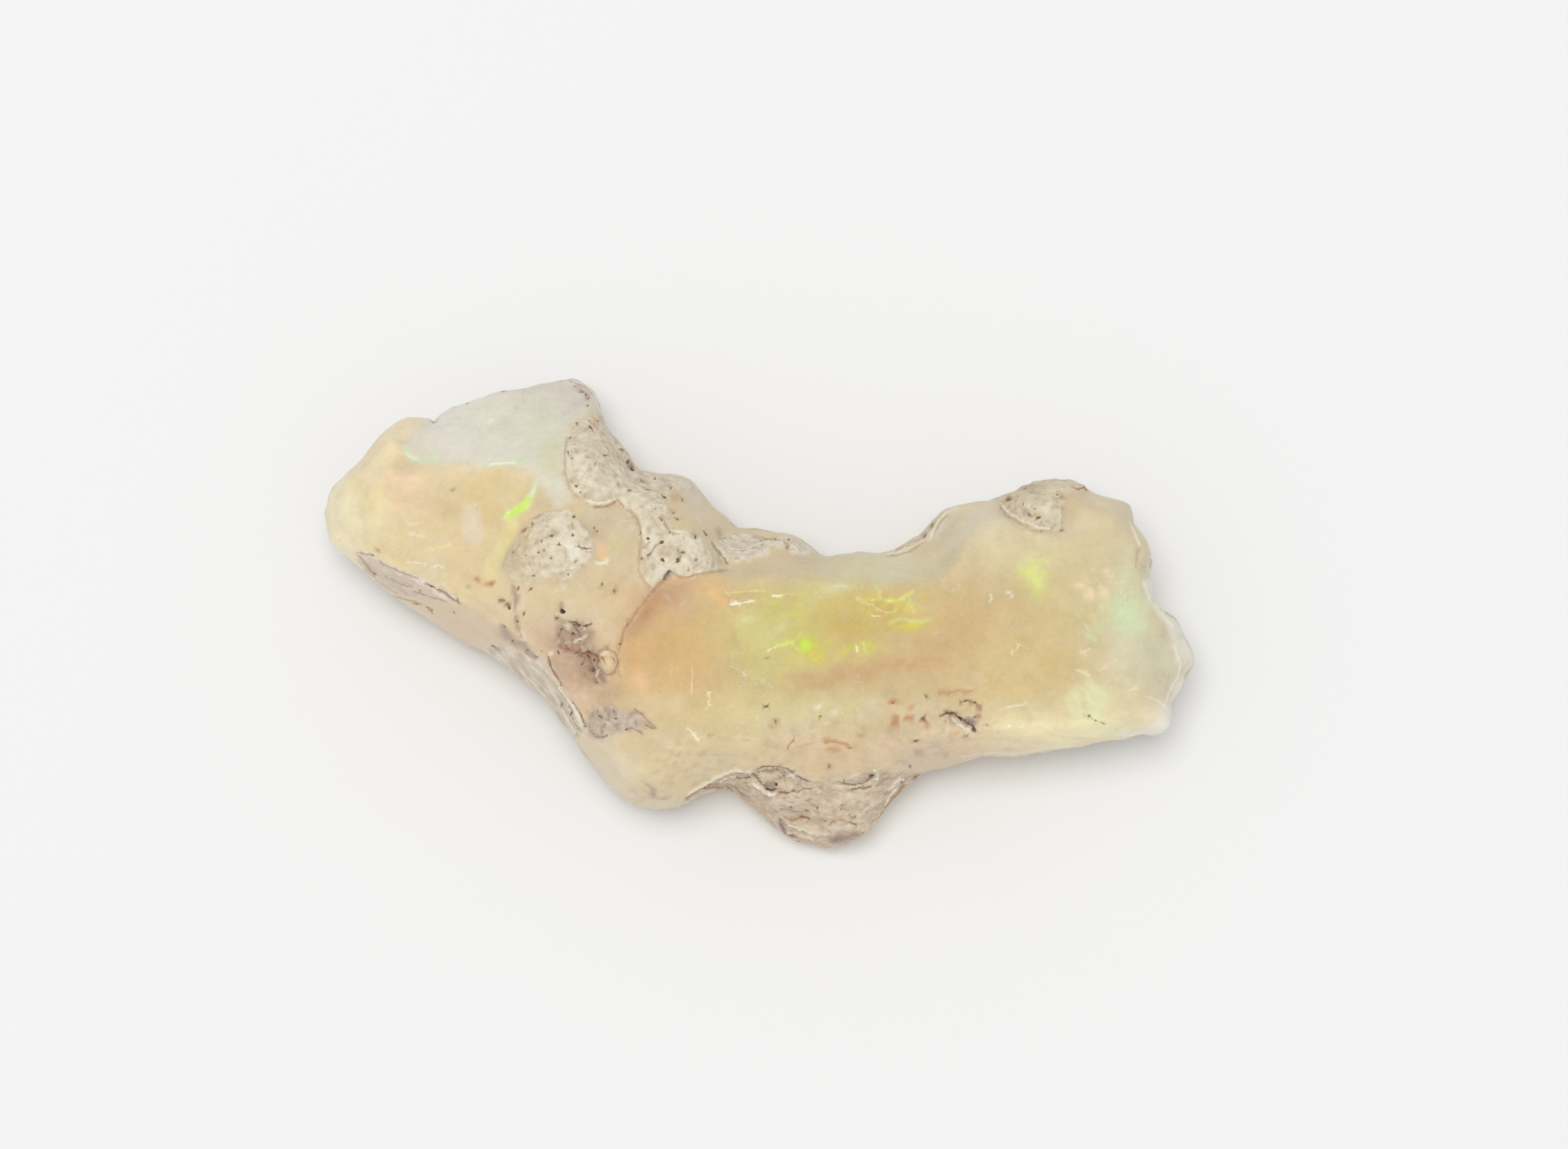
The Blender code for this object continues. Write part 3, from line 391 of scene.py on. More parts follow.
LIPS = [
    # width, height, corners
    (0.07, 0.06, [(-5.98, 3.9), (-5.75, 3.8), (-5.5, 3.78), (-5.25, 3.84), (-5.0, 3.95)]),
    (0.09, 0.06, [(-6.85, -2.55), (-6.6, -2.93), (-6.38, -3.26), (-6.22, -3.55), (-6.1, -3.85)]),
    (0.06, 0.05, [(-6.75, -3.3), (-6.6, -3.65), (-6.45, -3.9), (-6.35, -4.1)]),
    (0.07, 0.08, [(-2.5, -6.2), (-2.1, -5.95), (-1.5, -5.62), (-1.0, -5.4), (-0.66, -5.4),
     (-0.3, -5.46)]),
    (0.05, 0.05, [(-1.38, -5.82), (-1.2, -5.7), (-1.02, -5.6), (-0.85, -5.6)]),
    (0.07, 0.07, [(-0.2, -5.9), (0.0, -6.06), (0.33, -6.27), (0.54, -6.2)]),
    (0.06, 0.05, [(0.95, -5.6), (1.1, -5.55), (1.18, -5.66)]),
    (0.08, 0.06, [(4.44, -6.06), (4.74, -5.76), (4.92, -5.68)]),
    (0.05, 0.05, [(4.3, -6.6), (4.45, -6.3), (4.7, -6.05)]),
    (0.06, 0.07, [(6.6, -3.62), (6.8, -3.76), (7.0, -3.92), (7.25, -3.98)]),
    (0.08, 0.05, [(1.0, -7.3), (1.4, -7.45), (1.9, -7.6), (2.3, -7.6)]),
    (0.06, 0.05, [(-5.7, 1.8), (-5.5, 1.68), (-5.25, 1.8)]),
    (0.09, 0.08, [(-6.35, -0.95), (-6.2, -0.9), (-6.0, -0.8)]),
    (0.05, 0.05, [(-5.6, -2.0), (-5.64, -2.2), (-5.5, -2.38)]),
    (0.04, 0.03, [(-5.42, -1.42), (-5.2, -1.34)]),
    (0.06, 0.04, [(5.9, 2.6), (6.0, 2.9), (6.2, 3.2), (6.5, 3.5)]),
    (0.05, 0.03, [(8.35, 3.7), (8.7, 3.38), (9.15, 3.15), (9.6, 2.98), (10.0, 2.95)]),
    (0.05, 0.05, [(3.95, -5.4), (4.08, -5.5), (4.05, -5.7)]),
    (0.06, 0.04, [(13.2, 1.15), (13.45, 0.55), (13.85, 0.0), (14.25, -0.45)]),
    (0.06, 0.04, [(14.3, -1.15), (14.52, -1.75), (14.4, -2.2), (14.1, -2.75), (13.95, -3.3)]),
    (0.05, 0.03, [(12.75, 3.2), (12.95, 2.7), (13.1, 2.35)]),
]

# Rows in the glint colour are painted highlights where a scratch catches the light; the other rows are thin
# streaks of colour.
GLINTS_AND_STREAKS = [
    # colour, strength, width, corners
    ("glint", 1.0, 0.05, [(-1.0, 0.31), (-0.75, 0.34), (-0.5, 0.38), (-0.23, 0.43)]),
    ("glint", 1.0, 0.05, [(0.42, 0.58), (0.6, 0.61), (0.78, 0.63)]),
    ("streak", 0.8, 0.05, [(0.75, 0.63), (1.15, 0.7)]),
    ("streak", 0.9, 0.04, [(-1.2, 0.69), (-0.9, 0.73), (-0.45, 0.76), (0.13, 0.78)]),
    ("glint", 0.6, 0.03, [(-2.33, -1.9), (-2.32, -2.2), (-2.34, -2.6), (-2.35, -2.8)]),
    ("pale amber", 0.8, 0.05, [(-2.36, -1.3), (-2.34, -1.7), (-2.32, -2.05)]),
    ("glint", 0.7, 0.035, [(-1.77, -2.7), (-1.72, -2.93), (-1.76, -3.15), (-1.84, -3.32)]),
    ("glint", 0.7, 0.06, [(-2.5, -3.95), (-2.3, -4.15), (-2.12, -4.38)]),
    ("glint", 0.9, 0.04, [(0.28, -1.31), (0.4, -1.22), (0.57, -1.14)]),
    ("leaf", 0.6, 0.08, [(0.57, -1.13), (0.85, -1.06), (1.15, -0.98)]),
    ("leaf", 0.4, 0.1, [(1.1, -1.06), (1.38, -1.3)]),
    ("streak", 0.7, 0.03, [(1.09, -1.06), (1.28, -0.88), (1.45, -0.65)]),
    ("pale leaf", 0.8, 0.05, [(-0.97, -1.83), (-0.75, -1.92), (-0.45, -2.15)]),
    ("pale leaf", 0.35, 0.06, [(-0.3, -2.2), (0.1, -2.3), (0.4, -2.5)]),
    ("pale amber", 0.8, 0.06, [(4.82, -1.94), (5.05, -1.75), (5.34, -1.48)]),
    ("glint", 0.9, 0.03, [(3.33, -1.08), (3.34, -1.32)]),
    ("leaf", 0.9, 0.05, [(3.58, -1.02), (3.64, -1.2), (3.6, -1.3)]),
    ("leaf", 0.4, 0.14, [(3.4, 0.5), (3.7, 0.46)]),
    ("leaf", 0.45, 0.16, [(4.3, 0.46), (4.46, 0.42), (4.9, 0.52)]),
    ("leaf", 0.45, 0.15, [(5.0, 0.55), (5.26, 0.74)]),
    ("leaf", 0.4, 0.12, [(5.18, 0.5), (5.16, 0.3), (5.34, 0.08)]),
    ("streak", 0.8, 0.05, [(3.5, 0.38), (3.9, 0.3), (4.1, 0.12), (4.5, 0.02), (4.7, 0.1)]),
    ("glint", 0.8, 0.04, [(3.87, -0.07), (4.02, -0.1), (4.18, -0.08)]),
    ("glint", 0.8, 0.03, [(3.86, 0.46), (3.98, 0.46)]),
    ("glint", 0.8, 0.03, [(4.44, 0.44), (4.56, 0.42)]),
    ("leaf", 0.45, 0.15, [(4.5, -0.3), (4.7, -0.2), (4.9, -0.22)]),
    ("leaf", 0.45, 0.17, [(5.05, -0.2), (5.3, -0.3), (5.55, -0.26), (5.78, -0.22)]),
    ("leaf", 0.35, 0.14, [(4.0, 1.0), (4.12, 0.8), (4.16, 0.52)]),
    ("pale leaf", 0.6, 0.1, [(2.6, 0.92), (2.8, 0.98), (3.0, 0.94)]),
    ("glint", 0.7, 0.05, [(7.96, 0.68), (8.0, 0.5), (7.95, 0.42)]),
    ("glint", 0.6, 0.07, [(8.6, 0.72), (8.75, 0.6)]),
    ("glint", 0.5, 0.05, [(8.7, -1.32), (8.85, -1.25), (8.95, -1.08)]),
    ("glint", 0.6, 0.04, [(8.3, -3.32), (8.55, -3.22), (8.85, -3.2), (9.1, -3.14), (9.3, -3.04)]),
    ("glint", 1.0, 0.06, [(8.5, -3.86), (8.66, -3.92)]),
    ("glint", 0.5, 0.04, [(9.0, -3.7), (9.1, -3.8), (9.0, -3.95)]),
    ("pale green", 0.8, 0.09, [(10.88, -1.93), (11.1, -2.0), (11.35, -2.12)]),
    ("glint", 0.4, 0.05, [(11.1, -1.35), (11.3, -1.28), (11.45, -1.2)]),
    ("peach", 0.6, 0.04, [(11.7, -1.98), (12.0, -1.8), (12.3, -1.6)]),
    ("mint", 0.7, 0.08, [(11.2, -0.35), (11.35, -0.6), (11.3, -0.75), (11.6, -0.92)]),
    # The clear edge rows paint light shining through the thin rim.
    ("clear edge", 0.8, 0.05, [(13.3, -2.85), (13.7, -3.0), (14.05, -3.25)]),
    ("clear edge", 0.6, 0.05, [(12.6, -2.7), (12.9, -2.6), (13.1, -2.62)]),
    ("glint", 0.7, 0.05, [(-11.3, 1.62), (-11.1, 1.67), (-10.9, 1.58)]),
    ("yellow honey", 0.9, 0.08, [(-11.4, 2.22), (-11.0, 2.28), (-10.66, 2.36)]),
    ("glint", 0.4, 0.05, [(-12.2, 3.12), (-11.9, 3.1), (-11.6, 3.15)]),
    ("glint", 0.4, 0.05, [(-12.1, 2.75), (-11.7, 2.68), (-11.45, 2.62)]),
    ("glint", 0.4, 0.05, [(-12.2, 1.75), (-11.8, 1.76), (-11.5, 1.7)]),
    ("glint", 0.8, 0.06, [(-9.26, 5.15), (-9.0, 5.17), (-8.75, 5.2), (-8.5, 5.2)]),
    ("glint", 0.4, 0.05, [(-9.4, 5.3), (-9.0, 5.34)]),
    ("glint", 0.5, 0.1, [(-12.15, 5.5), (-12.0, 5.4), (-11.8, 5.32)]),
    ("glint", 0.7, 0.04, [(-8.75, 3.3), (-8.72, 3.45), (-8.6, 3.5)]),
    ("glint", 0.6, 0.04, [(-7.85, 4.15), (-7.75, 4.32), (-7.71, 4.5)]),
    ("pale rose", 0.6, 0.08, [(-12.95, 4.9), (-12.7, 4.72), (-12.4, 4.62)]),
    ("milk honey", 0.6, 0.1, [(-12.9, 2.9), (-12.7, 2.6), (-12.5, 2.3)]),
    ("white milk", 0.6, 0.05, [(-12.15, 1.12), (-11.95, 1.18), (-11.8, 1.15)]),
    ("mauve milk", 0.6, 0.07, [(-13.4, 1.95), (-13.3, 1.7), (-13.05, 1.5)]),
    ("mauve milk", 0.5, 0.07, [(-12.7, 1.3), (-12.3, 1.1), (-12.0, 1.05)]),
    ("white milk", 0.4, 0.04, [(-1.4, -5.62), (-1.3, -5.7), (-1.2, -5.75)]),
    ("clear edge", 0.5, 0.08, [(7.0, -4.95), (8.0, -4.82), (9.0, -4.85), (10.0, -4.62), (11.0, -4.6)]),
    ("green cream", 0.5, 0.09, [(10.0, -4.2), (11.5, -4.35), (12.5, -4.25)]),
]

CHIPS = [
    # x, y, half size, depth
    (13.3, 1.25, 0.22, 0.14), (13.62, 0.45, 0.25, 0.1), (14.5, -0.82, 0.2, 0.12),
    (14.72, -2.15, 0.3, 0.14), (14.3, -3.1, 0.25, 0.1), (-11.24, 6.68, 0.2, 0.16),
    (12.95, 3.1, 0.2, 0.08), (-9.4, 7.5, 0.25, 0.04), (10.4, 4.62, 0.2, 0.05), (9.0, -4.95, 0.3, 0.05),
    (7.6, -4.95, 0.3, 0.05), (11.6, -4.7, 0.3, 0.04),
]

BRIGHTEST = [
    # x, y, half width, half height
    (1.4, -1.2, 1.0, 0.5), (3.4, -1.2, 0.6, 0.35), (4.7, 0.1, 1.3, 0.8), (9.5, 1.4, 0.6, 0.7),
    (-8.3, 3.8, 0.7, 0.8),
]

print(len(ROCK_PLATES), "plates,", len(PITS), "pits,", len(CRACKS_AND_SHADE_LINES), "cracks,", len(LIPS), "lips,",
      len(GLINTS_AND_STREAKS), "scratches,", len(CHIPS), "chips")

# %% [markdown]
# ## A fine mesh from the solid
# The solid is a shell of loose triangles. Its doubles are merged, and a voxel remesh turns it into
# small even faces, which sculpt well. Blender's remesh goes no finer than a tenth of a millimetre at
# real size, so the copy is worked on a thousand times larger, where one unit is a millimetre, and is
# scaled back at the end. The underside needs fewer faces, so a Decimate with a vertex group thins it.
# Rock and bright flashes need more and pits still more, so the edges there are cut in two with
# subdivide_edges, up to three times. An edge is cut if a mark passes within a part of its own length,
# so the small faces gather at the mark and nowhere else.

# %% Copy, remesh, thin and refine
VOXEL = 0.175
SMOOTHINGS = 5
UNDER_SHARE = 0.2
UNDER_FACING = 0.1
ROUNDS = 3
REFINE_NEAR = 0.06
FLASH_RIM = 0.4
LINE_MARGIN = 0.008
LINE_REACH = 0.42
PIT_REACH = 0.252
SHORTEST_EDGE = 0.028


def with_modifier(mesh, kind, chosen=None, **settings):
    """The mesh after one modifier, which acts on the chosen points if they are given."""
    helper = bpy.data.objects.new("helper", mesh)
    bpy.context.scene.collection.objects.link(helper)
    if chosen is not None:
        helper.vertex_groups.new(name="chosen").add(np.flatnonzero(chosen).tolist(), 1.0, "REPLACE")
        settings["vertex_group"] = "chosen"
    modifier = helper.modifiers.new("once", kind)
    for name, value in settings.items():
        setattr(modifier, name, value)
    graph = bpy.context.evaluated_depsgraph_get()
    result = bpy.data.meshes.new_from_object(helper.evaluated_get(graph))
    bpy.data.objects.remove(helper)
    return result


def points_of(mesh):
    """The points of a mesh, one row each."""
    rows = np.empty(len(mesh.vertices) * 3)
    mesh.vertices.foreach_get("co", rows)
    return rows.reshape(-1, 3)


def normals_of(mesh):
    """The way that the surface faces at each point."""
    rows = np.empty(len(mesh.vertices) * 3)
    mesh.vertex_normals.foreach_get("vector", rows)
    return rows.reshape(-1, 3)


def millimetre_copy(node):
    """A closed copy of a node's mesh, one unit to a millimetre."""
    bm = bmesh.new()
    bm.from_mesh(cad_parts[node].data)
    bmesh.ops.remove_doubles(bm, verts=bm.verts, dist=1e-7)
    bmesh.ops.scale(bm, vec=(1 / MM, 1 / MM, 1 / MM), verts=bm.verts)
    mesh = bpy.data.meshes.new("copy of " + node)
    bm.to_mesh(mesh)
    bm.free()
    return mesh


def smoothed(mesh, times):
    """The mesh with its small facets eased away."""
    bm = bmesh.new()
    bm.from_mesh(mesh)
    for _ in range(times):
        bmesh.ops.smooth_vert(
            bm, verts=bm.verts, factor=0.5, use_axis_x=True, use_axis_y=True, use_axis_z=True
        )
    bm.to_mesh(mesh)
    bm.free()
    return mesh


def near_plates(points):
    """Whether a point looks to be on a rock plate or just beside it."""
    seen = in_picture(points)
    rough = [*ROCK_PLATES.values(), SKINS["rough hollow"], SKINS["mauve foot"]]
    return np.max([area(seen, corners, REFINE_NEAR) for corners in rough], axis=0) > 0.0


def near_flashes(points):
    """Whether a point looks to be on one of the brightest flashes."""
    seen = in_picture(points)
    shares = [spot(seen, (x, y), (2 * width, 2 * height)) for x, y, width, height in BRIGHTEST]
    return np.max(shares, axis=0) > FLASH_RIM


def near_marks(points, lengths):
    """Whether a mark passes the middle of an edge within a part of the edge's length."""
    seen = in_picture(points)
    near = np.zeros(len(seen), bool)
    for x, y, radius, _, stretch, *_ in PITS:
        near |= np.hypot(*(seen - (x, y)).T) < radius * (1.0 + stretch) / 2 + PIT_REACH * lengths
    for *_, corners in CRACKS_AND_SHADE_LINES + LIPS + GLINTS_AND_STREAKS:
        low, high = np.min(corners, axis=0) - VOXEL, np.max(corners, axis=0) + VOXEL
        close = np.flatnonzero(np.all((seen > low) & (seen < high), axis=1))
        reach = LINE_MARGIN + LINE_REACH * lengths[close]
        near[close] |= distance_to_line(seen[close], corners) < reach
    return near


def ends_of(mesh):
    """The two points of each edge, one row each."""
    rows = np.empty(len(mesh.edges) * 2, np.int32)
    mesh.edges.foreach_get("vertices", rows)
    return rows.reshape(-1, 2)


def refined(mesh, chosen):
    """The mesh with the chosen edges cut in two."""
    bm = bmesh.new()
    bm.from_mesh(mesh)
    bm.edges.ensure_lookup_table()
    edges = [bm.edges[i] for i in np.flatnonzero(chosen)]
    bmesh.ops.subdivide_edges(bm, edges=edges, cuts=1, use_grid_fill=True, smooth=0.0)
    bmesh.ops.triangulate(bm, faces=[f for f in bm.faces if len(f.verts) > 4])
    bm.to_mesh(mesh)
    bm.free()
    return mesh


mesh = millimetre_copy("opal_stone")
mesh = with_modifier(mesh, "REMESH", mode="VOXEL", voxel_size=VOXEL)
mesh = smoothed(mesh, SMOOTHINGS)
hidden = normals_of(mesh) @ TO_EYE < UNDER_FACING
mesh = with_modifier(mesh, "DECIMATE", hidden, ratio=1 - hidden.mean() * (1 - UNDER_SHARE))
for level in range(ROUNDS):
    ends = ends_of(mesh)
    a, b = points_of(mesh)[ends.T]
    middles, lengths = (a + b) / 2, np.linalg.norm(a - b, axis=1)
    chosen = near_marks(middles, lengths)
    if level == 0:
        chosen |= near_plates(middles) | near_flashes(middles)
    to_eye = (normals_of(mesh) @ TO_EYE)[ends].mean(axis=1)
    mesh = refined(mesh, chosen & (to_eye > 0.0) & (lengths > SHORTEST_EDGE))
triangles = sum(len(p.vertices) - 2 for p in mesh.polygons)
print("fine mesh:", len(mesh.vertices), "points,", triangles, "triangles")

# %% [markdown]
# ## Sculpting the surface
# On the real stone the opal breaks in smooth shells, the rock in crumbs. The whole relief is a single
# height for each point, along the way that the surface faces there: plates up, pits and cracks down,
# and noise that is strong on rock and faint on opal. A sculptor would draw it with brushes; a height
# that is worked out for each point does the same, and comes out alike every time. The border of a
# plate wanders, because its share is read at a place that noise has moved a little. Pits and lines
# wander less, or a thin crack would break up into dots.

# %% Raise the rock, sink the pits
PLATE_HEIGHT = 0.06
PLATE_EDGE, SKIN_EDGE = 0.09, 0.12
BORDER_WANDER = 0.10
MARK_WANDER = 0.035
CRACK_DEPTH, LIP_WIDTH = 0.8, 1.2

points, normals = points_of(mesh), normals_of(mesh)
facing = normals @ TO_EYE
shown = smooth_step(0.0, 0.12, facing)
fine = clouds(points, 0.35, 4, seed=1)
crumbs = clouds(points, 0.14, 3, seed=2)
lumps = clouds(points, 0.9, 3, seed=3)
billows = clouds(points, 2.6, 3, seed=4)

seen = in_picture(points)
wander = np.column_stack([fine, clouds(points, 0.35, 3, seed=5)])
ragged = seen + BORDER_WANDER * wander
jagged = seen + MARK_WANDER * np.column_stack([crumbs, clouds(points, 0.14, 3, seed=7)])
traced = (seen + jagged) / 2
thickness = np.clip(0.8 + 0.8 * clouds(points, 0.25, 2, seed=8), 0.25, 1.4)
touch = np.clip(0.9 + 0.5 * crumbs, 0.4, 1.2)


def drawn(corners, width, at=traced):
    """Share of a line that is thicker and thinner along its way, read at the given places."""
    return smooth_step(1.0, 0.35, distance_to_line(at, corners) / (width * thickness))


plates = {name: area(ragged, corners, PLATE_EDGE) * shown for name, corners in ROCK_PLATES.items()}
skins = {name: area(ragged, corners, SKIN_EDGE) * shown for name, corners in SKINS.items()}
on_plate = np.max(list(plates.values()), axis=0)
on_skin = np.max(list(skins.values()), axis=0)
back_rock = (1.0 - shown) * smooth_step(0.05, 0.2, lumps * 0.5 + billows)
rock = np.maximum.reduce([on_plate, 0.75 * on_skin, back_rock])

lift = PLATE_HEIGHT * np.maximum(on_plate, 0.4 * back_rock)
# This noise sinks small dents, which the colour layers further down also shade.
dents_and_shade = clouds(points, 0.2, 3, seed=33)
lift -= on_plate * (0.035 * smooth_step(0.3, 0.7, dents_and_shade) + 0.02 * dents_and_shade)
lift -= skins["rough hollow"] * 0.05 * smooth_step(0.2, 0.6, dents_and_shade)
lift -= (skins["mauve foot"] + skins["knob"]) * 0.025 * smooth_step(0.2, 0.6, dents_and_shade)
lift += rock * (0.03 * fine + 0.006 * crumbs + 0.045 * lumps)
lift += (1.0 - rock) * (0.014 * lumps + 0.004 * fine)
lift += skins["rough hollow"] * (0.05 * fine - 0.05) + 0.03 * skins["knob"] * fine
lift += 0.10 * dab(jagged, (-5.2, -1.66), (0.3, 0.34))
lift += (1.0 - shown) * (0.05 * lumps + 0.02 * fine)

# Each pit sinks the surface; deep pits also get a share of painted shade.
in_pits, deep_pit_shade = np.zeros(len(points)), np.zeros(len(points))
for x, y, radius, depth, stretch, *turn in PITS:
    share = spot(jagged, (x, y), (radius * stretch, radius), *turn)
    share = smooth_step(0.28, 0.7, share + 0.16 * crumbs * (share > 0.1)) * shown
    in_pits = np.maximum(in_pits, share)
    deep_pit_shade = np.maximum(deep_pit_shade, share**2 * smooth_step(0.04, 0.10, depth))
    lift -= depth * share
for _, _, width, depth, corners in CRACKS_AND_SHADE_LINES:
    lift -= CRACK_DEPTH * depth * drawn(corners, width) * shown
for width, height, corners in LIPS:
    lift += height * drawn(corners, width * LIP_WIDTH) * shown
steep = smooth_step(0.75, 0.25, facing)
for x, y, size, depth in CHIPS:
    lift -= depth * steep * spot(seen, (x, y), (size, size))
lift += 0.04 * lumps * steep * smooth_step(12.0, 13.2, points[:, 0])

off_rest = smooth_step(0.0, 0.4, points[:, 2])
points = points + normals * (lift * off_rest)[:, None]
points[:, 2] = np.maximum(points[:, 2], 0.0)
mesh.vertices.foreach_set("co", points.ravel())
mesh.update()
print("relief from", lift.min().round(3), "to", lift.max().round(3), "mm")

# %% [markdown]
# ## Crevices and ridges
# Crevices are laid darker as painted shade and ridges lighter as painted highlight. How hollow a place
# is can be read off the mesh: the mean of its neighbours is above it in a hollow, and below it on a
# ridge. A few rounds of averaging make the measure wider than a single face.

# %% Measure the hollows
HOLLOW_ROUNDS = 6


def spread(mesh, values, rounds):
    """Values after each point has taken the mean of its neighbours a few times."""
    a, b = ends_of(mesh).T
    counts = np.bincount(a, minlength=len(values)) + np.bincount(b, minlength=len(values))
    columns = values.reshape(len(values), -1)
    for _ in range(rounds):
        columns = np.column_stack([
            (np.bincount(a, column[b], len(values)) + np.bincount(b, column[a], len(values))) / counts
            for column in columns.T
        ])
    return columns.reshape(values.shape)


hollow = np.einsum("ij,ij->i", spread(mesh, points, HOLLOW_ROUNDS) - points, normals)
print("hollows", np.percentile(hollow, (1, 50, 99)).round(4))

# %% [markdown]
# ## Laying the colour
# The colours are named once, as they look in daylight. Then they are laid on like a painter's layers:
# the wide zones first, with soft borders because they lie deep in milky stone, then the flashes, then
# rock and skin, then the thin marks on top. Texture images could hold the same, but layers of named
# shapes stay sharp at any size and can be changed one at a time.

# %% Named colours and the layering helpers
COLOURS = {
    "pale end": (238, 229, 194), "pale top": (230, 218, 186), "yellow honey": (236, 219, 168),
    "honey": (226, 208, 166), "apricot": (240, 222, 181), "rose": (232, 206, 175),
    "pale rose": (238, 214, 182), "milk honey": (227, 211, 178), "deep honey": (220, 200, 150),
    "tan honey": (223, 200, 159), "low honey": (222, 204, 160), "wall tan": (211, 189, 161),
    "soft tan": (216, 198, 166), "milk": (223, 219, 203), "white milk": (224, 218, 206),
    "mauve milk": (216, 204, 190), "green milk": (214, 212, 193), "olive milk": (212, 207, 176),
    "pink rim": (209, 200, 186), "violet milk": (204, 195, 186), "oval": (226, 212, 187),
    "leaf": (219, 236, 150), "pale leaf": (216, 226, 190), "streak": (228, 216, 160),
    "flesh": (206, 189, 164), "pale tan": (210, 195, 163), "waist": (217, 200, 167),
    "peach tan": (212, 188, 158), "pink tan": (197, 171, 150), "brown tan": (195, 168, 138),
    "orange spot": (233, 197, 154), "amber": (219, 186, 136), "bright amber": (228, 188, 135),
    "rosy": (205, 170, 141), "red amber": (203, 163, 129), "pale amber": (222, 188, 145),
    "olive": (211, 203, 142), "yellow green": (210, 200, 134), "window honey": (209, 189, 121),
    "ochre": (207, 184, 116), "lime": (205, 220, 88), "yellow lime": (216, 206, 116),
    "window brown": (212, 184, 140), "low brown": (207, 178, 135), "grey bevel": (206, 188, 158),
    "green bevel": (212, 207, 173), "top milk": (218, 208, 186), "green top": (210, 206, 184),
    "pale honey": (219, 205, 169), "right honey": (217, 197, 143), "right low": (232, 219, 178),
    "right tan": (221, 208, 171), "right green": (209, 205, 176), "dim green": (204, 199, 171),
    # The clear edge colour is the pale thin rim of clear opal, painted lighter for the light that shines
    # through it.
    "clear edge": (230, 227, 213), "mint": (206, 221, 181), "pale green": (224, 227, 184),
    "peach": (240, 221, 188), "right leaf": (217, 228, 136), "orange tan": (210, 190, 157),
    "grey tan": (203, 190, 164), "cream": (211, 194, 158), "low cream": (214, 200, 172),
    "green cream": (215, 203, 157), "low tan": (204, 181, 149), "pink low": (206, 182, 156),
    "bone": (214, 201, 178), "flap bone": (209, 197, 175), "white bone": (234, 227, 208),
    "rock tan": (203, 186, 158), "strip bone": (221, 210, 193), "patch tan": (209, 195, 168),
    "mauve": (206, 188, 170), "dark mauve": (176, 158, 146), "slope": (210, 199, 182),
    "foot": (182, 166, 151), "knob": (193, 174, 153), "ash": (176, 158, 141), "plum": (150, 130, 124),
    "shade brown": (170, 145, 124), "russet": (181, 149, 124), "rust": (184, 130, 92),
    "brown": (146, 112, 86), "pit brown": (122, 98, 74), "dark": (70, 54, 44),
    # The glint colour is a painted highlight.
    "spot mauve": (169, 141, 129), "glint": (250, 248, 236), "arc brown": (178, 138, 112),
    "olive brown": (138, 120, 88), "hollow grey": (186, 165, 143), "bright leaf": (198, 240, 92),
    "flash yellow": (216, 205, 98), "red streak": (204, 167, 130), "deep green": (209, 204, 177),
}

colour = np.tile(np.array(COLOURS["cream"]) / 255.0, (len(points), 1))


def lay(name, share):
    """Lays a named colour over what is there, as strongly as its share."""
    share = np.clip(share, 0.0, 1.0)[:, None]
    colour[:] = colour * (1.0 - share) + np.array(COLOURS[name]) / 255.0 * share


def lay_dabs(rows, within=1.0):
    """Lays rows of colour, strength, middle, half size and any turn, inside a share."""
    for name, strength, at, size, *turn in rows:
        lay(name, strength * dab(cloudy, at, size, *turn) * within)


def lay_marks(rows):
    """Lays rows of colour, strength, kind of mark, where it is read, and the mark's own measures."""
    for name, strength, mark, place, *measures in rows:
        lay(name, strength * mark(place, *measures))


# %% [markdown]
# ## Zones deep in the stone
# Wide soft dabs are the body colours. They reach through the stone, so its underside has them too.
# Noise shifts the places that they are read at, because no border in grown stone is a clean oval.
# The middle of the bar is clearer opal, a little darker and warmer, so a thin glaze goes over it. A
# cloudy veil and a brownish skin at the lower edge break up what would still look airbrushed.

# %% Lay the body colours
cloudy = seen + 0.22 * np.column_stack([lumps, clouds(points, 0.9, 3, seed=6)])

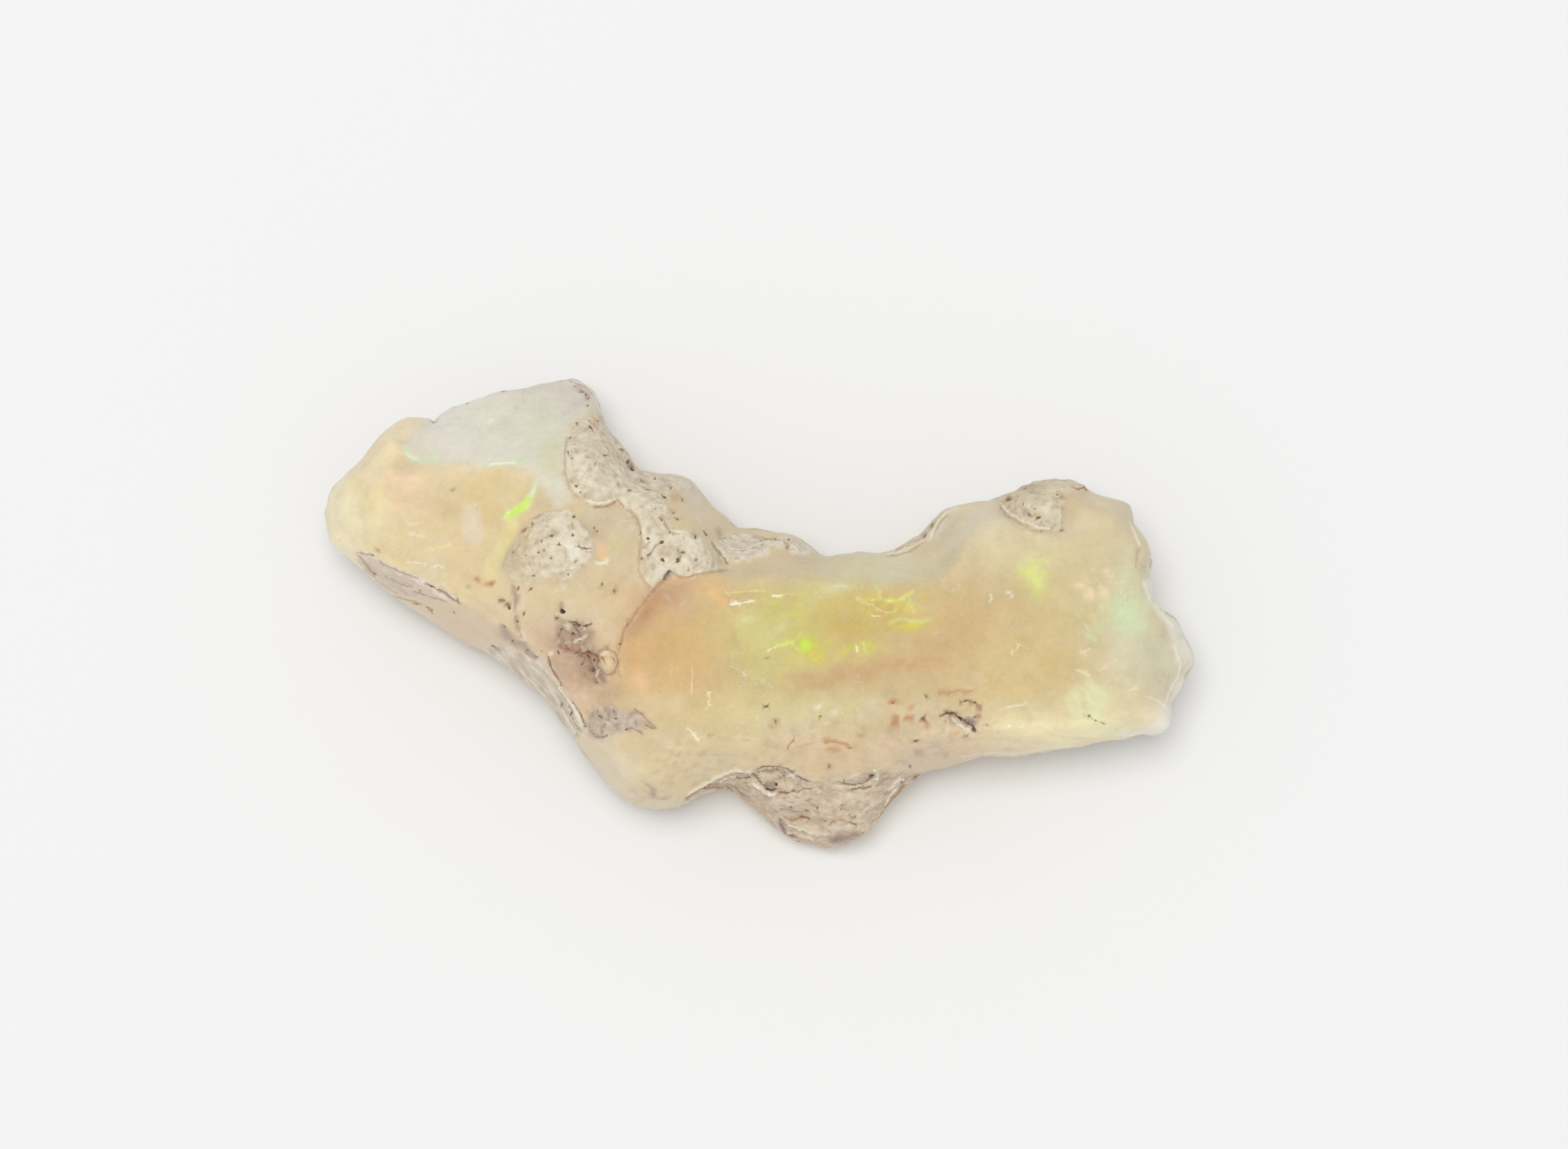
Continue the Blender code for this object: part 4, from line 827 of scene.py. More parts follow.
lay_dabs([
    ("waist", 1.0, (-5.6, 0.2), (3.6, 3.6)),
    ("soft tan", 0.9, (-9.0, 0.3), (1.6, 1.2), -20),
    ("honey", 1.0, (-11.4, 3.2), (3.7, 2.7)),
    ("pale end", 1.0, (-14.6, 3.2), (1.4, 2.0)),
    ("yellow honey", 0.8, (-13.45, 4.15), (0.4, 0.7)),
    ("pale top", 0.9, (-12.4, 6.4), (1.2, 0.5), 15),
    ("apricot", 0.9, (-12.9, 5.4), (0.7, 0.5), 30),
    ("rose", 0.9, (-12.0, 4.05), (0.75, 0.7)),
    ("pale rose", 0.7, (-12.1, 4.7), (0.8, 0.22), -6),
    ("milk honey", 0.7, (-10.8, 4.4), (0.5, 0.6)),
    ("deep honey", 0.9, (-9.2, 4.1), (1.2, 0.8)),
    ("deep honey", 0.9, (-9.0, 2.9), (0.5, 0.8)),
    ("tan honey", 0.8, (-10.9, 3.0), (0.5, 0.8)),
    ("low honey", 0.8, (-12.0, 2.0), (1.7, 0.5), -15),
    ("tan honey", 0.5, (-10.0, 1.6), (0.8, 0.4)),
    ("wall tan", 1.0, (-10.6, -0.2), (2.4, 0.6), -28),
    ("flesh", 0.9, (-5.2, 3.1), (1.0, 0.7)),
    ("pale tan", 0.8, (-4.6, 1.6), (0.7, 1.0)),
    ("peach tan", 0.8, (-7.5, -0.8), (0.7, 0.5)),
    ("pink tan", 1.0, (-6.5, -2.2), (0.9, 0.7), -45),
    ("brown tan", 0.8, (-5.1, -2.7), (0.5, 0.4)),
    ("cream", 1.0, (-3.0, -4.8), (3.2, 1.3)),
    ("low cream", 0.9, (-5.0, -5.4), (0.9, 0.9), -40),
    ("green cream", 0.9, (-1.4, -3.4), (1.8, 0.6)),
    ("low tan", 0.9, (3.0, -4.9), (2.2, 0.8)),
    ("pink low", 0.9, (6.4, -4.7), (1.6, 0.7)),
    ("amber", 1.0, (-2.8, -1.2), (2.0, 1.8)),
    ("rosy", 1.0, (-3.1, 0.7), (0.9, 0.55), 20),
    ("red amber", 1.0, (-3.9, 0.1), (0.3, 0.8), -38),
    ("red amber", 0.5, (-4.5, -0.7), (0.2, 0.6), -15),
    ("bright amber", 0.6, (-4.3, -1.7), (0.4, 0.6), 10),
    ("pale amber", 0.8, (-1.8, 0.9), (1.1, 0.35), -8),
    ("olive", 1.0, (0.4, -1.0), (1.5, 1.6), 20),
    ("yellow green", 0.9, (1.6, 0.1), (1.7, 0.8), 10),
    ("window honey", 0.9, (3.9, 0.1), (1.4, 0.8)),
    ("ochre", 0.9, (3.0, -0.5), (0.8, 0.35), 5),
    ("window brown", 1.0, (6.9, -0.6), (1.8, 1.4), 10),
    ("low brown", 0.9, (3.9, -1.95), (2.2, 0.4), 12),
    ("grey bevel", 0.9, (0.7, 1.6), (1.7, 0.45), 5),
    ("green bevel", 0.9, (4.2, 1.5), (1.7, 0.45)),
    ("green cream", 0.9, (2.6, -3.2), (1.6, 0.4), 8),
    ("green top", 0.8, (6.4, 2.9), (0.5, 0.8)),
    ("top milk", 0.9, (7.5, 3.2), (0.9, 0.6)),
    ("pale honey", 0.9, (9.2, 2.4), (2.0, 0.6)),
    ("right honey", 0.9, (9.2, -1.9), (1.7, 1.3)),
    ("right low", 0.9, (9.6, -3.7), (1.8, 0.5), 5),
    ("right low", 0.9, (11.2, -4.2), (2.4, 0.4), 4),
    ("right tan", 0.9, (12.4, -2.6), (0.9, 1.4)),
    ("right green", 0.9, (12.9, -1.0), (1.0, 1.2)),
    ("dim green", 0.8, (14.1, -2.0), (0.5, 0.9)),
    # The clear edge dabs paint light shining through the thin rim of the right end.
    ("clear edge", 0.8, (14.5, -1.2), (0.35, 0.9), -30),
    ("clear edge", 0.7, (14.0, -3.5), (0.6, 0.5)),
    ("pale honey", 0.7, (12.0, 2.9), (0.8, 0.9)),
    ("orange tan", 0.9, (10.9, 3.5), (0.35, 0.5)),
    ("grey tan", 0.8, (12.6, 3.5), (0.35, 0.5)),
    ("right honey", 0.3, (10.5, 0.0), (1.0, 0.8)),
    ("green cream", 0.7, (10.9, 0.9), (1.5, 1.2)),
    ("right green", 0.7, (12.6, 1.2), (0.7, 1.2)),
])

GLAZE = (0.98, 0.965, 0.94)
BAR = [(-4.9, -2.6), (-4.2, 0.6), (-3.2, 1.2), (6.0, 1.1), (12.0, 1.6), (12.0, -3.4), (3.0, -2.9)]
bar = area(cloudy, BAR, 0.5)
colour *= 1.0 - bar[:, None] * (1.0 - np.array(GLAZE))

grit = clouds(points, 0.3, 4, seed=32)
veil = clouds(points, 1.3, 5, seed=31) + 0.3 * grit
lay("white milk", 0.22 * (1.0 - 0.6 * bar) * smooth_step(0.0, 0.8, veil))
lay("brown tan", 0.16 * smooth_step(0.0, -0.8, veil))
lay("low tan", 0.25 * smooth_step(0.1, 0.7, grit))

LOWER_SKIN = [
    (-3.6, -4.4), (-1.0, -4.0), (1.0, -3.8), (2.6, -3.6), (4.4, -2.9), (6.0, -2.8), (7.7, -2.9),
    (7.9, -4.7), (5.6, -5.6), (1.8, -5.8), (-1.0, -5.4), (-3.5, -6.6), (-4.6, -6.4),
]
lower_skin = area(cloudy, LOWER_SKIN, 0.4)
lay("brown tan", 0.55 * lower_skin * smooth_step(0.15, 0.6, grit))
lay("low cream", 0.45 * lower_skin * smooth_step(-0.15, -0.6, grit))

# %% [markdown]
# ## The milky face
# The upper face of the left lobe is clouded grey. It is cleaner than a dab: the lower border is where
# the stone broke along another plane, so it is an area, and its tints are dabs kept inside that area.

# %% Lay the milky face
MILKY_FACE = [
    (-11.35, 6.7), (-11.9, 6.25), (-12.25, 5.7), (-11.8, 5.35), (-10.9, 5.2), (-10.2, 5.08),
    (-9.4, 5.1), (-8.5, 5.15), (-7.9, 4.95), (-7.5, 4.4), (-7.1, 3.9), (-6.6, 4.0), (-6.6, 6.4),
    (-5.9, 6.9), (-5.2, 7.0), (-5.2, 8.4), (-9.0, 8.4), (-11.0, 7.4),
]
face = area(cloudy, MILKY_FACE, 0.3)
lay("milk", face)
lay_dabs([
    ("mauve milk", 0.9, (-11.8, 6.2), (0.45, 0.6)),
    ("white milk", 0.8, (-10.7, 6.3), (0.6, 0.6)),
    ("green milk", 0.9, (-7.7, 6.6), (1.1, 0.9)),
    ("olive milk", 0.9, (-7.2, 5.3), (0.45, 0.7)),
    ("green milk", 0.8, (-7.2, 4.4), (0.4, 0.45)),
    ("pink rim", 0.8, (-7.5, 7.8), (1.0, 0.3), 8),
    ("violet milk", 0.9, (-6.3, 7.3), (0.5, 0.6)),
], face)

# %% [markdown]
# ## The flashes
# Play of colour comes from stacked silica spheres, and it changes with the light. Here the flashes are
# laid as the light of this scene brings them out: clear, streaky patches of green, lime and orange. A
# noise that is drawn out along one direction breaks them into strands.

# %% Lay the flashes
def strands(turn, long, across, seed):
    """Noise from 0 to 1 drawn out into strands that run at an angle."""
    c, s = cos(radians(turn)), sin(radians(turn))
    x, y = seen.T
    drawn_out = np.column_stack([(x * c + y * s) / long, (y * c - x * s) / across, np.zeros(len(x))])
    return smooth_step(-0.35, 0.45, clouds(drawn_out, 1.0, 3, seed))


window_strands = strands(18, 0.9, 0.22, 11)
cell_strands = strands(40, 0.3, 0.12, 12)
right_strands = strands(-40, 0.5, 0.2, 13)

lay_marks([
    # colour, strength, kind, place, corners and softness, or middle, half size and turn
    ("leaf", 1.0, area, seen, [(-8.88, 3.3), (-8.72, 3.52), (-8.35, 3.75), (-8.1, 3.92), (-7.85, 4.2),
     (-7.72, 4.5), (-7.78, 4.05), (-8.0, 3.6), (-8.3, 3.45), (-8.6, 3.15)], 0.08),
    ("pale leaf", 0.9, stroke, seen, [(-8.0, 3.95), (-7.8, 4.2), (-7.72, 4.55)], 0.14),
    ("streak", 0.8, stroke, seen, [(-8.5, 3.3), (-8.5, 3.0), (-8.75, 2.6), (-9.0, 2.1), (-9.2, 1.7),
     (-9.4, 1.35)], 0.3),
    ("pale leaf", 0.8, stroke, seen, [(-12.2, 5.6), (-12.0, 5.4), (-11.7, 5.32), (-11.2, 5.3)], 0.25),
    ("pale leaf", 0.9, stroke, seen, [(-9.4, 5.15), (-9.0, 5.18), (-8.5, 5.22), (-8.0, 5.3)], 0.14),
    ("pale rose", 0.9, spot, seen, (-10.25, 5.0), (0.35, 0.18), 20),
    ("oval", 0.85, area, seen, [(-10.2, 3.72), (-9.9, 3.76), (-9.65, 3.5), (-9.55, 3.0), (-9.55, 2.55),
     (-9.85, 2.3), (-10.15, 2.5), (-10.35, 3.0), (-10.3, 3.45)], 0.09),
    ("tan honey", 0.8, stroke, jagged, [(-10.45, 3.3), (-10.42, 2.8), (-10.25, 2.4), (-9.95, 2.17),
     (-9.6, 2.3), (-9.47, 2.6)], 0.12),
])

FLASHES = [
    # colour, strength, middle, half size, turn, strands
    ("lime", 1.0, (1.68, -1.15), (0.3, 0.26), 15, 0.8 + 0.2 * cell_strands),
    ("bright leaf", 0.75, (1.66, -1.12), (0.14, 0.2), 10, 1.0),
    ("lime", 0.8, (0.95, -1.0), (0.4, 0.08), 8, 0.6 + 0.4 * cell_strands),
    ("flash yellow", 0.9, (1.95, -1.45), (0.32, 0.22), 20, 0.6 + 0.4 * cell_strands),
    ("flash yellow", 0.6, (2.1, -0.95), (0.25, 0.25), 0, cell_strands),
    ("lime", 0.8, (3.12, -1.16), (0.28, 0.09), 5, 0.7 + 0.3 * cell_strands),
    ("lime", 0.9, (3.64, -1.14), (0.08, 0.16), 0, 1.0),
    ("yellow lime", 0.6, (3.4, -1.3), (0.6, 0.25), 5, cell_strands),
    ("olive", 0.5, (0.2, -0.6), (1.0, 0.6), 25, window_strands),
    ("pale leaf", 0.8, (-0.45, -0.25), (0.22, 0.07), 5, 1.0),
    ("pale leaf", 0.35, (0.65, -0.5), (0.12, 0.4), -42, 1.0),
    ("yellow lime", 0.5, (0.9, 0.1), (1.2, 0.5), 20, window_strands),
    ("pale leaf", 0.35, (2.2, 0.6), (0.7, 0.14), 42, 0.5 + 0.5 * window_strands),
    ("pale leaf", 0.3, (2.9, 0.85), (0.7, 0.15), 0, 1.0),
    ("flash yellow", 0.7, (4.6, 0.25), (0.9, 0.3), 5, cell_strands),
    ("yellow lime", 0.7, (3.3, -1.2), (0.7, 0.3), 5, 0.5 + 0.5 * cell_strands),
    ("yellow lime", 0.8, (4.7, 0.5), (0.7, 0.2), 5, cell_strands),
    ("flash yellow", 1.0, (5.2, -0.38), (0.6, 0.2), 6, 0.6 + 0.4 * cell_strands),
    ("lime", 0.35, (5.1, -0.3), (0.4, 0.1), 6, cell_strands),
    ("right leaf", 0.95, (9.28, 1.5), (0.4, 0.32), 25, 0.6 + 0.4 * right_strands),
    ("right leaf", 0.9, (9.62, 1.08), (0.28, 0.36), 5, 0.6 + 0.4 * right_strands),
    ("right leaf", 0.7, (9.86, 1.83), (0.1, 0.1), 0, 1.0),
    ("mint", 1.0, (12.6, 0.1), (0.58, 0.52), 0, 0.7 + 0.3 * right_strands),
    ("mint", 0.9, (12.95, -0.5), (0.35, 0.2), 10, 0.6 + 0.4 * right_strands),
    ("mint", 0.4, (12.6, 1.1), (0.4, 0.5), 0, right_strands),
    ("mint", 0.5, (11.5, -0.5), (0.3, 0.4), 20, right_strands),
    ("pale green", 0.4, (11.6, -3.9), (1.0, 0.35), 0, 1.0),
    ("peach", 1.0, (11.46, 0.62), (0.15, 0.2), -10, 1.0),
    ("peach", 0.9, (11.06, 1.05), (0.13, 0.13), 0, 1.0),
    ("peach", 0.8, (11.98, 0.7), (0.1, 0.12), 0, 1.0),
    ("peach", 0.7, (12.0, 1.46), (0.12, 0.1), 0, 1.0),
    ("pale rose", 0.4, (11.5, 0.9), (0.6, 0.6), 0, right_strands),
]
for name, strength, at, size, turn, strand in FLASHES:
    lay(name, strength * dab(cloudy, at, size, turn) * strand)

lay_marks([
    ("low brown", 0.35 * strands(16, 1.6, 0.25, 14), dab, seen, (5.5, -1.6), (3.0, 0.9), 10),
    ("red streak", 0.5, stroke, cloudy, [(1.0, -2.27), (2.9, -1.9), (4.1, -1.83)], 0.22),
    ("red streak", 0.5, stroke, cloudy, [(1.38, -2.56), (2.7, -2.27), (3.8, -1.97), (6.5, -1.6)], 0.2),
    ("bright amber", 0.9, area, jagged, [(-1.75, 0.72), (-1.55, 0.88), (-1.35, 0.6), (-1.0, 0.37),
     (-1.3, 0.33), (-1.68, 0.58)], 0.06),
    ("red streak", 0.7, stroke, jagged, [(-1.1, 0.56), (-0.45, 0.63)], 0.12),
    ("pale amber", 0.7, stroke, jagged, [(-2.2, 1.1), (-1.8, 1.2), (-1.35, 1.25)], 0.2),
    ("bright amber", 0.6, spot, seen, (-2.05, -0.7), (0.12, 0.45)),
    ("orange spot", 0.8, area, ragged, [(-4.45, -2.05), (-4.1, -2.0), (-3.85, -2.15), (-3.85, -2.6),
     (-4.2, -2.65), (-4.45, -2.4)], 0.15),
    ("orange spot", 0.6, spot, seen, (-4.75, -1.95), (0.2, 0.25)),
    ("olive", 0.55, area, ragged, [(-0.8, -0.05), (-0.84, -0.5), (-0.75, -0.95), (-0.3, -1.3),
     (0.3, -1.3), (0.5, -0.4), (0.0, 0.1), (-0.4, 0.3)], 0.12),
    ("pale green", 0.9 * (0.6 + 0.4 * right_strands), area, ragged, [(10.5, -2.9), (10.85, -2.55),
     (11.2, -2.55), (11.3, -2.3), (11.75, -2.4), (12.1, -2.8), (12.1, -3.2), (11.7, -3.65),
     (11.0, -3.7), (10.7, -3.3)], 0.22),
    ("deep green", 0.7, area, cloudy, [(12.7, -0.7), (13.3, -0.75), (13.9, -0.95), (14.35, -1.5),
     (14.45, -2.0), (14.2, -2.6), (13.9, -2.85), (13.2, -2.5), (12.6, -1.8)], 0.15),
    # A stroke of painted light shining through the thin clear rim.
    ("clear edge", 0.8, stroke, cloudy, [(13.45, 1.1), (13.55, 0.5), (14.05, -0.1), (14.55, -0.7),
     (14.9, -1.4), (14.85, -2.0), (14.5, -2.6), (14.3, -3.2), (14.1, -3.9), (13.5, -4.15),
     (12.5, -4.35)], 0.42),
    ("bright leaf", 0.7, stroke, jagged, [(-8.7, 3.38), (-8.45, 3.5), (-8.15, 3.7), (-7.98, 3.95)], 0.14),
    ("flash yellow", 0.5, spot, seen, (-8.6, 2.72), (0.14, 0.2)),
    ("pale honey", 0.25 * strands(-30, 1.4, 0.3, 15), dab, seen, (9.5, -1.0), (4.0, 3.0)),
    ("pale honey", 0.3 * strands(20, 1.2, 0.25, 16), dab, seen, (-11.5, 3.0), (2.5, 1.8)),
])
print(len(FLASHES), "flashes; mean colour", (colour.mean(axis=0) * 255).round())

# %% [markdown]
# ## Rock, skin and pits
# The rock's colour follows its relief: pale on the ridges and tan in the hollows, as painted highlight
# and painted shade, and dark in the pits. How crumbly each part looks is kept as a share of its own,
# which the material reads further down.

# %% Lay the rock colours
PLATE_COLOURS = {
    "flap": "flap bone", "island": "bone", "shelf": "bone", "strip": "strip bone", "far patch": "patch tan",
}
SKIN_COLOURS = {
    "knob": "knob", "rough hollow": "hollow grey", "mauve foot": "foot", "green slope": "slope",
    "mauve band": "mauve", "sliver": "bone",
}
CRUMBLING = {
    "knob": 0.8, "rough hollow": 1.0, "mauve foot": 0.7, "green slope": 0.35, "mauve band": 0.45,
    "sliver": 0.3,
}
for name, share in plates.items():
    lay(PLATE_COLOURS[name], 0.95 * share)
for name, share in skins.items():
    lay(SKIN_COLOURS[name], 0.9 * share)
lay("bone", 0.7 * back_rock)
crumbling = np.maximum(0.45 * on_plate, 0.5 * back_rock)
for name, amount in CRUMBLING.items():
    crumbling = np.maximum(crumbling, amount * skins[name])
mottle = clouds(points, 0.55, 4, seed=21)
# Painted highlight on the ridges and painted shade in the hollows of the rock.
lay("white bone", 0.45 * rock * smooth_step(0.002, -0.02, hollow))
lay("rock tan", 0.35 * rock * smooth_step(0.0, 0.02, hollow))
lay("white bone", 0.35 * rock * smooth_step(0.0, 0.6, mottle))
lay("rock tan", 0.3 * rock * smooth_step(0.0, -0.6, mottle))
lay_marks([
    ("pale tan", 0.9 * plates["island"], area, cloudy, [(-9.3, 0.9), (-8.9, 2.9), (-8.1, 3.4),
     (-7.6, 2.6), (-7.75, 1.0)], 0.45),
    ("waist", 0.6 * plates["island"], area, cloudy, [(-9.3, 0.7), (-9.0, 2.6), (-8.3, 3.0),
     (-8.0, 0.9)], 0.5),
])
# Where the noise dents the plates they are laid olive brown as painted shade, and between the dents white
# as painted highlight.
lay("olive brown", 0.22 * on_plate * smooth_step(0.4, 0.75, dents_and_shade))
lay("white bone", 0.38 * on_plate * smooth_step(-0.15, -0.6, dents_and_shade))
lay("patch tan", 0.35 * plates["far patch"])
lay_dabs([
    ("shade brown", 0.65, (-6.55, -0.95), (0.6, 0.45), -10),
    ("pink tan", 0.7, (-6.6, -1.5), (0.6, 0.3), -10),
    ("shade brown", 0.75, (-5.82, -1.75), (0.35, 0.55), 10),
    ("shade brown", 0.4, (-5.6, -2.3), (0.3, 0.25)),
    ("spot mauve", 0.35, (-8.6, -0.8), (0.5, 0.25), -35),
], shown)
flow = strands(-48, 0.5, 0.13, 17)
flowing = area(cloudy, [
    (-7.3, -1.2), (-6.2, -1.6), (-5.5, -2.4), (-5.2, -3.2), (-6.1, -3.4), (-7.0, -2.4),
], 0.25)
lay("rosy", 0.4 * flowing * (1.0 - flow))
lay("bone", 0.35 * flowing * smooth_step(0.6, 1.0, flow))
# On the green slope the white strands are painted highlights along it, and the ash strands darken the parts
# between them.
lay("white bone", 0.5 * skins["green slope"] * smooth_step(0.6, 1.0, flow))
lay("ash", 0.35 * skins["green slope"] * smooth_step(0.35, 0.0, flow))
lay("strip bone", 0.7 * shown * area(jagged, [
    (-3.2, 4.62), (-2.3, 4.75), (-1.8, 4.2), (-2.1, 3.8), (-2.7, 4.3),
], 0.12))
rugged = np.maximum.reduce([skins["rough hollow"], 0.6 * skins["mauve foot"], 0.5 * skins["knob"]])
# The rough skins are laid brown where the noise dents them and white between the dents; the russet is their
# own tone.
lay("brown", 0.6 * rugged * smooth_step(0.2, 0.65, dents_and_shade))
lay("white bone", 0.5 * rugged * smooth_step(-0.2, -0.6, dents_and_shade))
lay("russet", 0.4 * rugged * smooth_step(0.1, 0.5, fine))

for name, strength, width, _, corners in CRACKS_AND_SHADE_LINES:
    lay(name, strength * drawn(corners, width) * shown)
# Lips are laid white along their raised edges as a painted highlight.
for width, _, corners in LIPS:
    lay("white bone", 0.75 * drawn(corners, width) * shown)
# Pits are laid pit brown, and the deep ones darker still as painted shade.
lay("pit brown", 0.7 * in_pits * touch)
lay("dark", 0.7 * deep_pit_shade * touch)
print("rock on", (rock > 0.5).mean().round(3), "of the points")

# %% [markdown]
# ## Small marks
# Last come the marks that are only colour: rust specks, white flecks, smears, painted glints where
# scratches catch the light, thin streaks of colour and the tone changes inside the rock. They follow
# the colours, and each row is one touch of a fine brush. Walls that face the near side are laid a little
# lighter, for the light that comes back to them from a pale table.

# %% Lay the small marks
WALL_GLOW = 0.075
SPOT_WIDTH = 1.25
GLINT_AND_STREAK_STRENGTH, GLINT_AND_STREAK_WIDTH = 0.85, 0.8
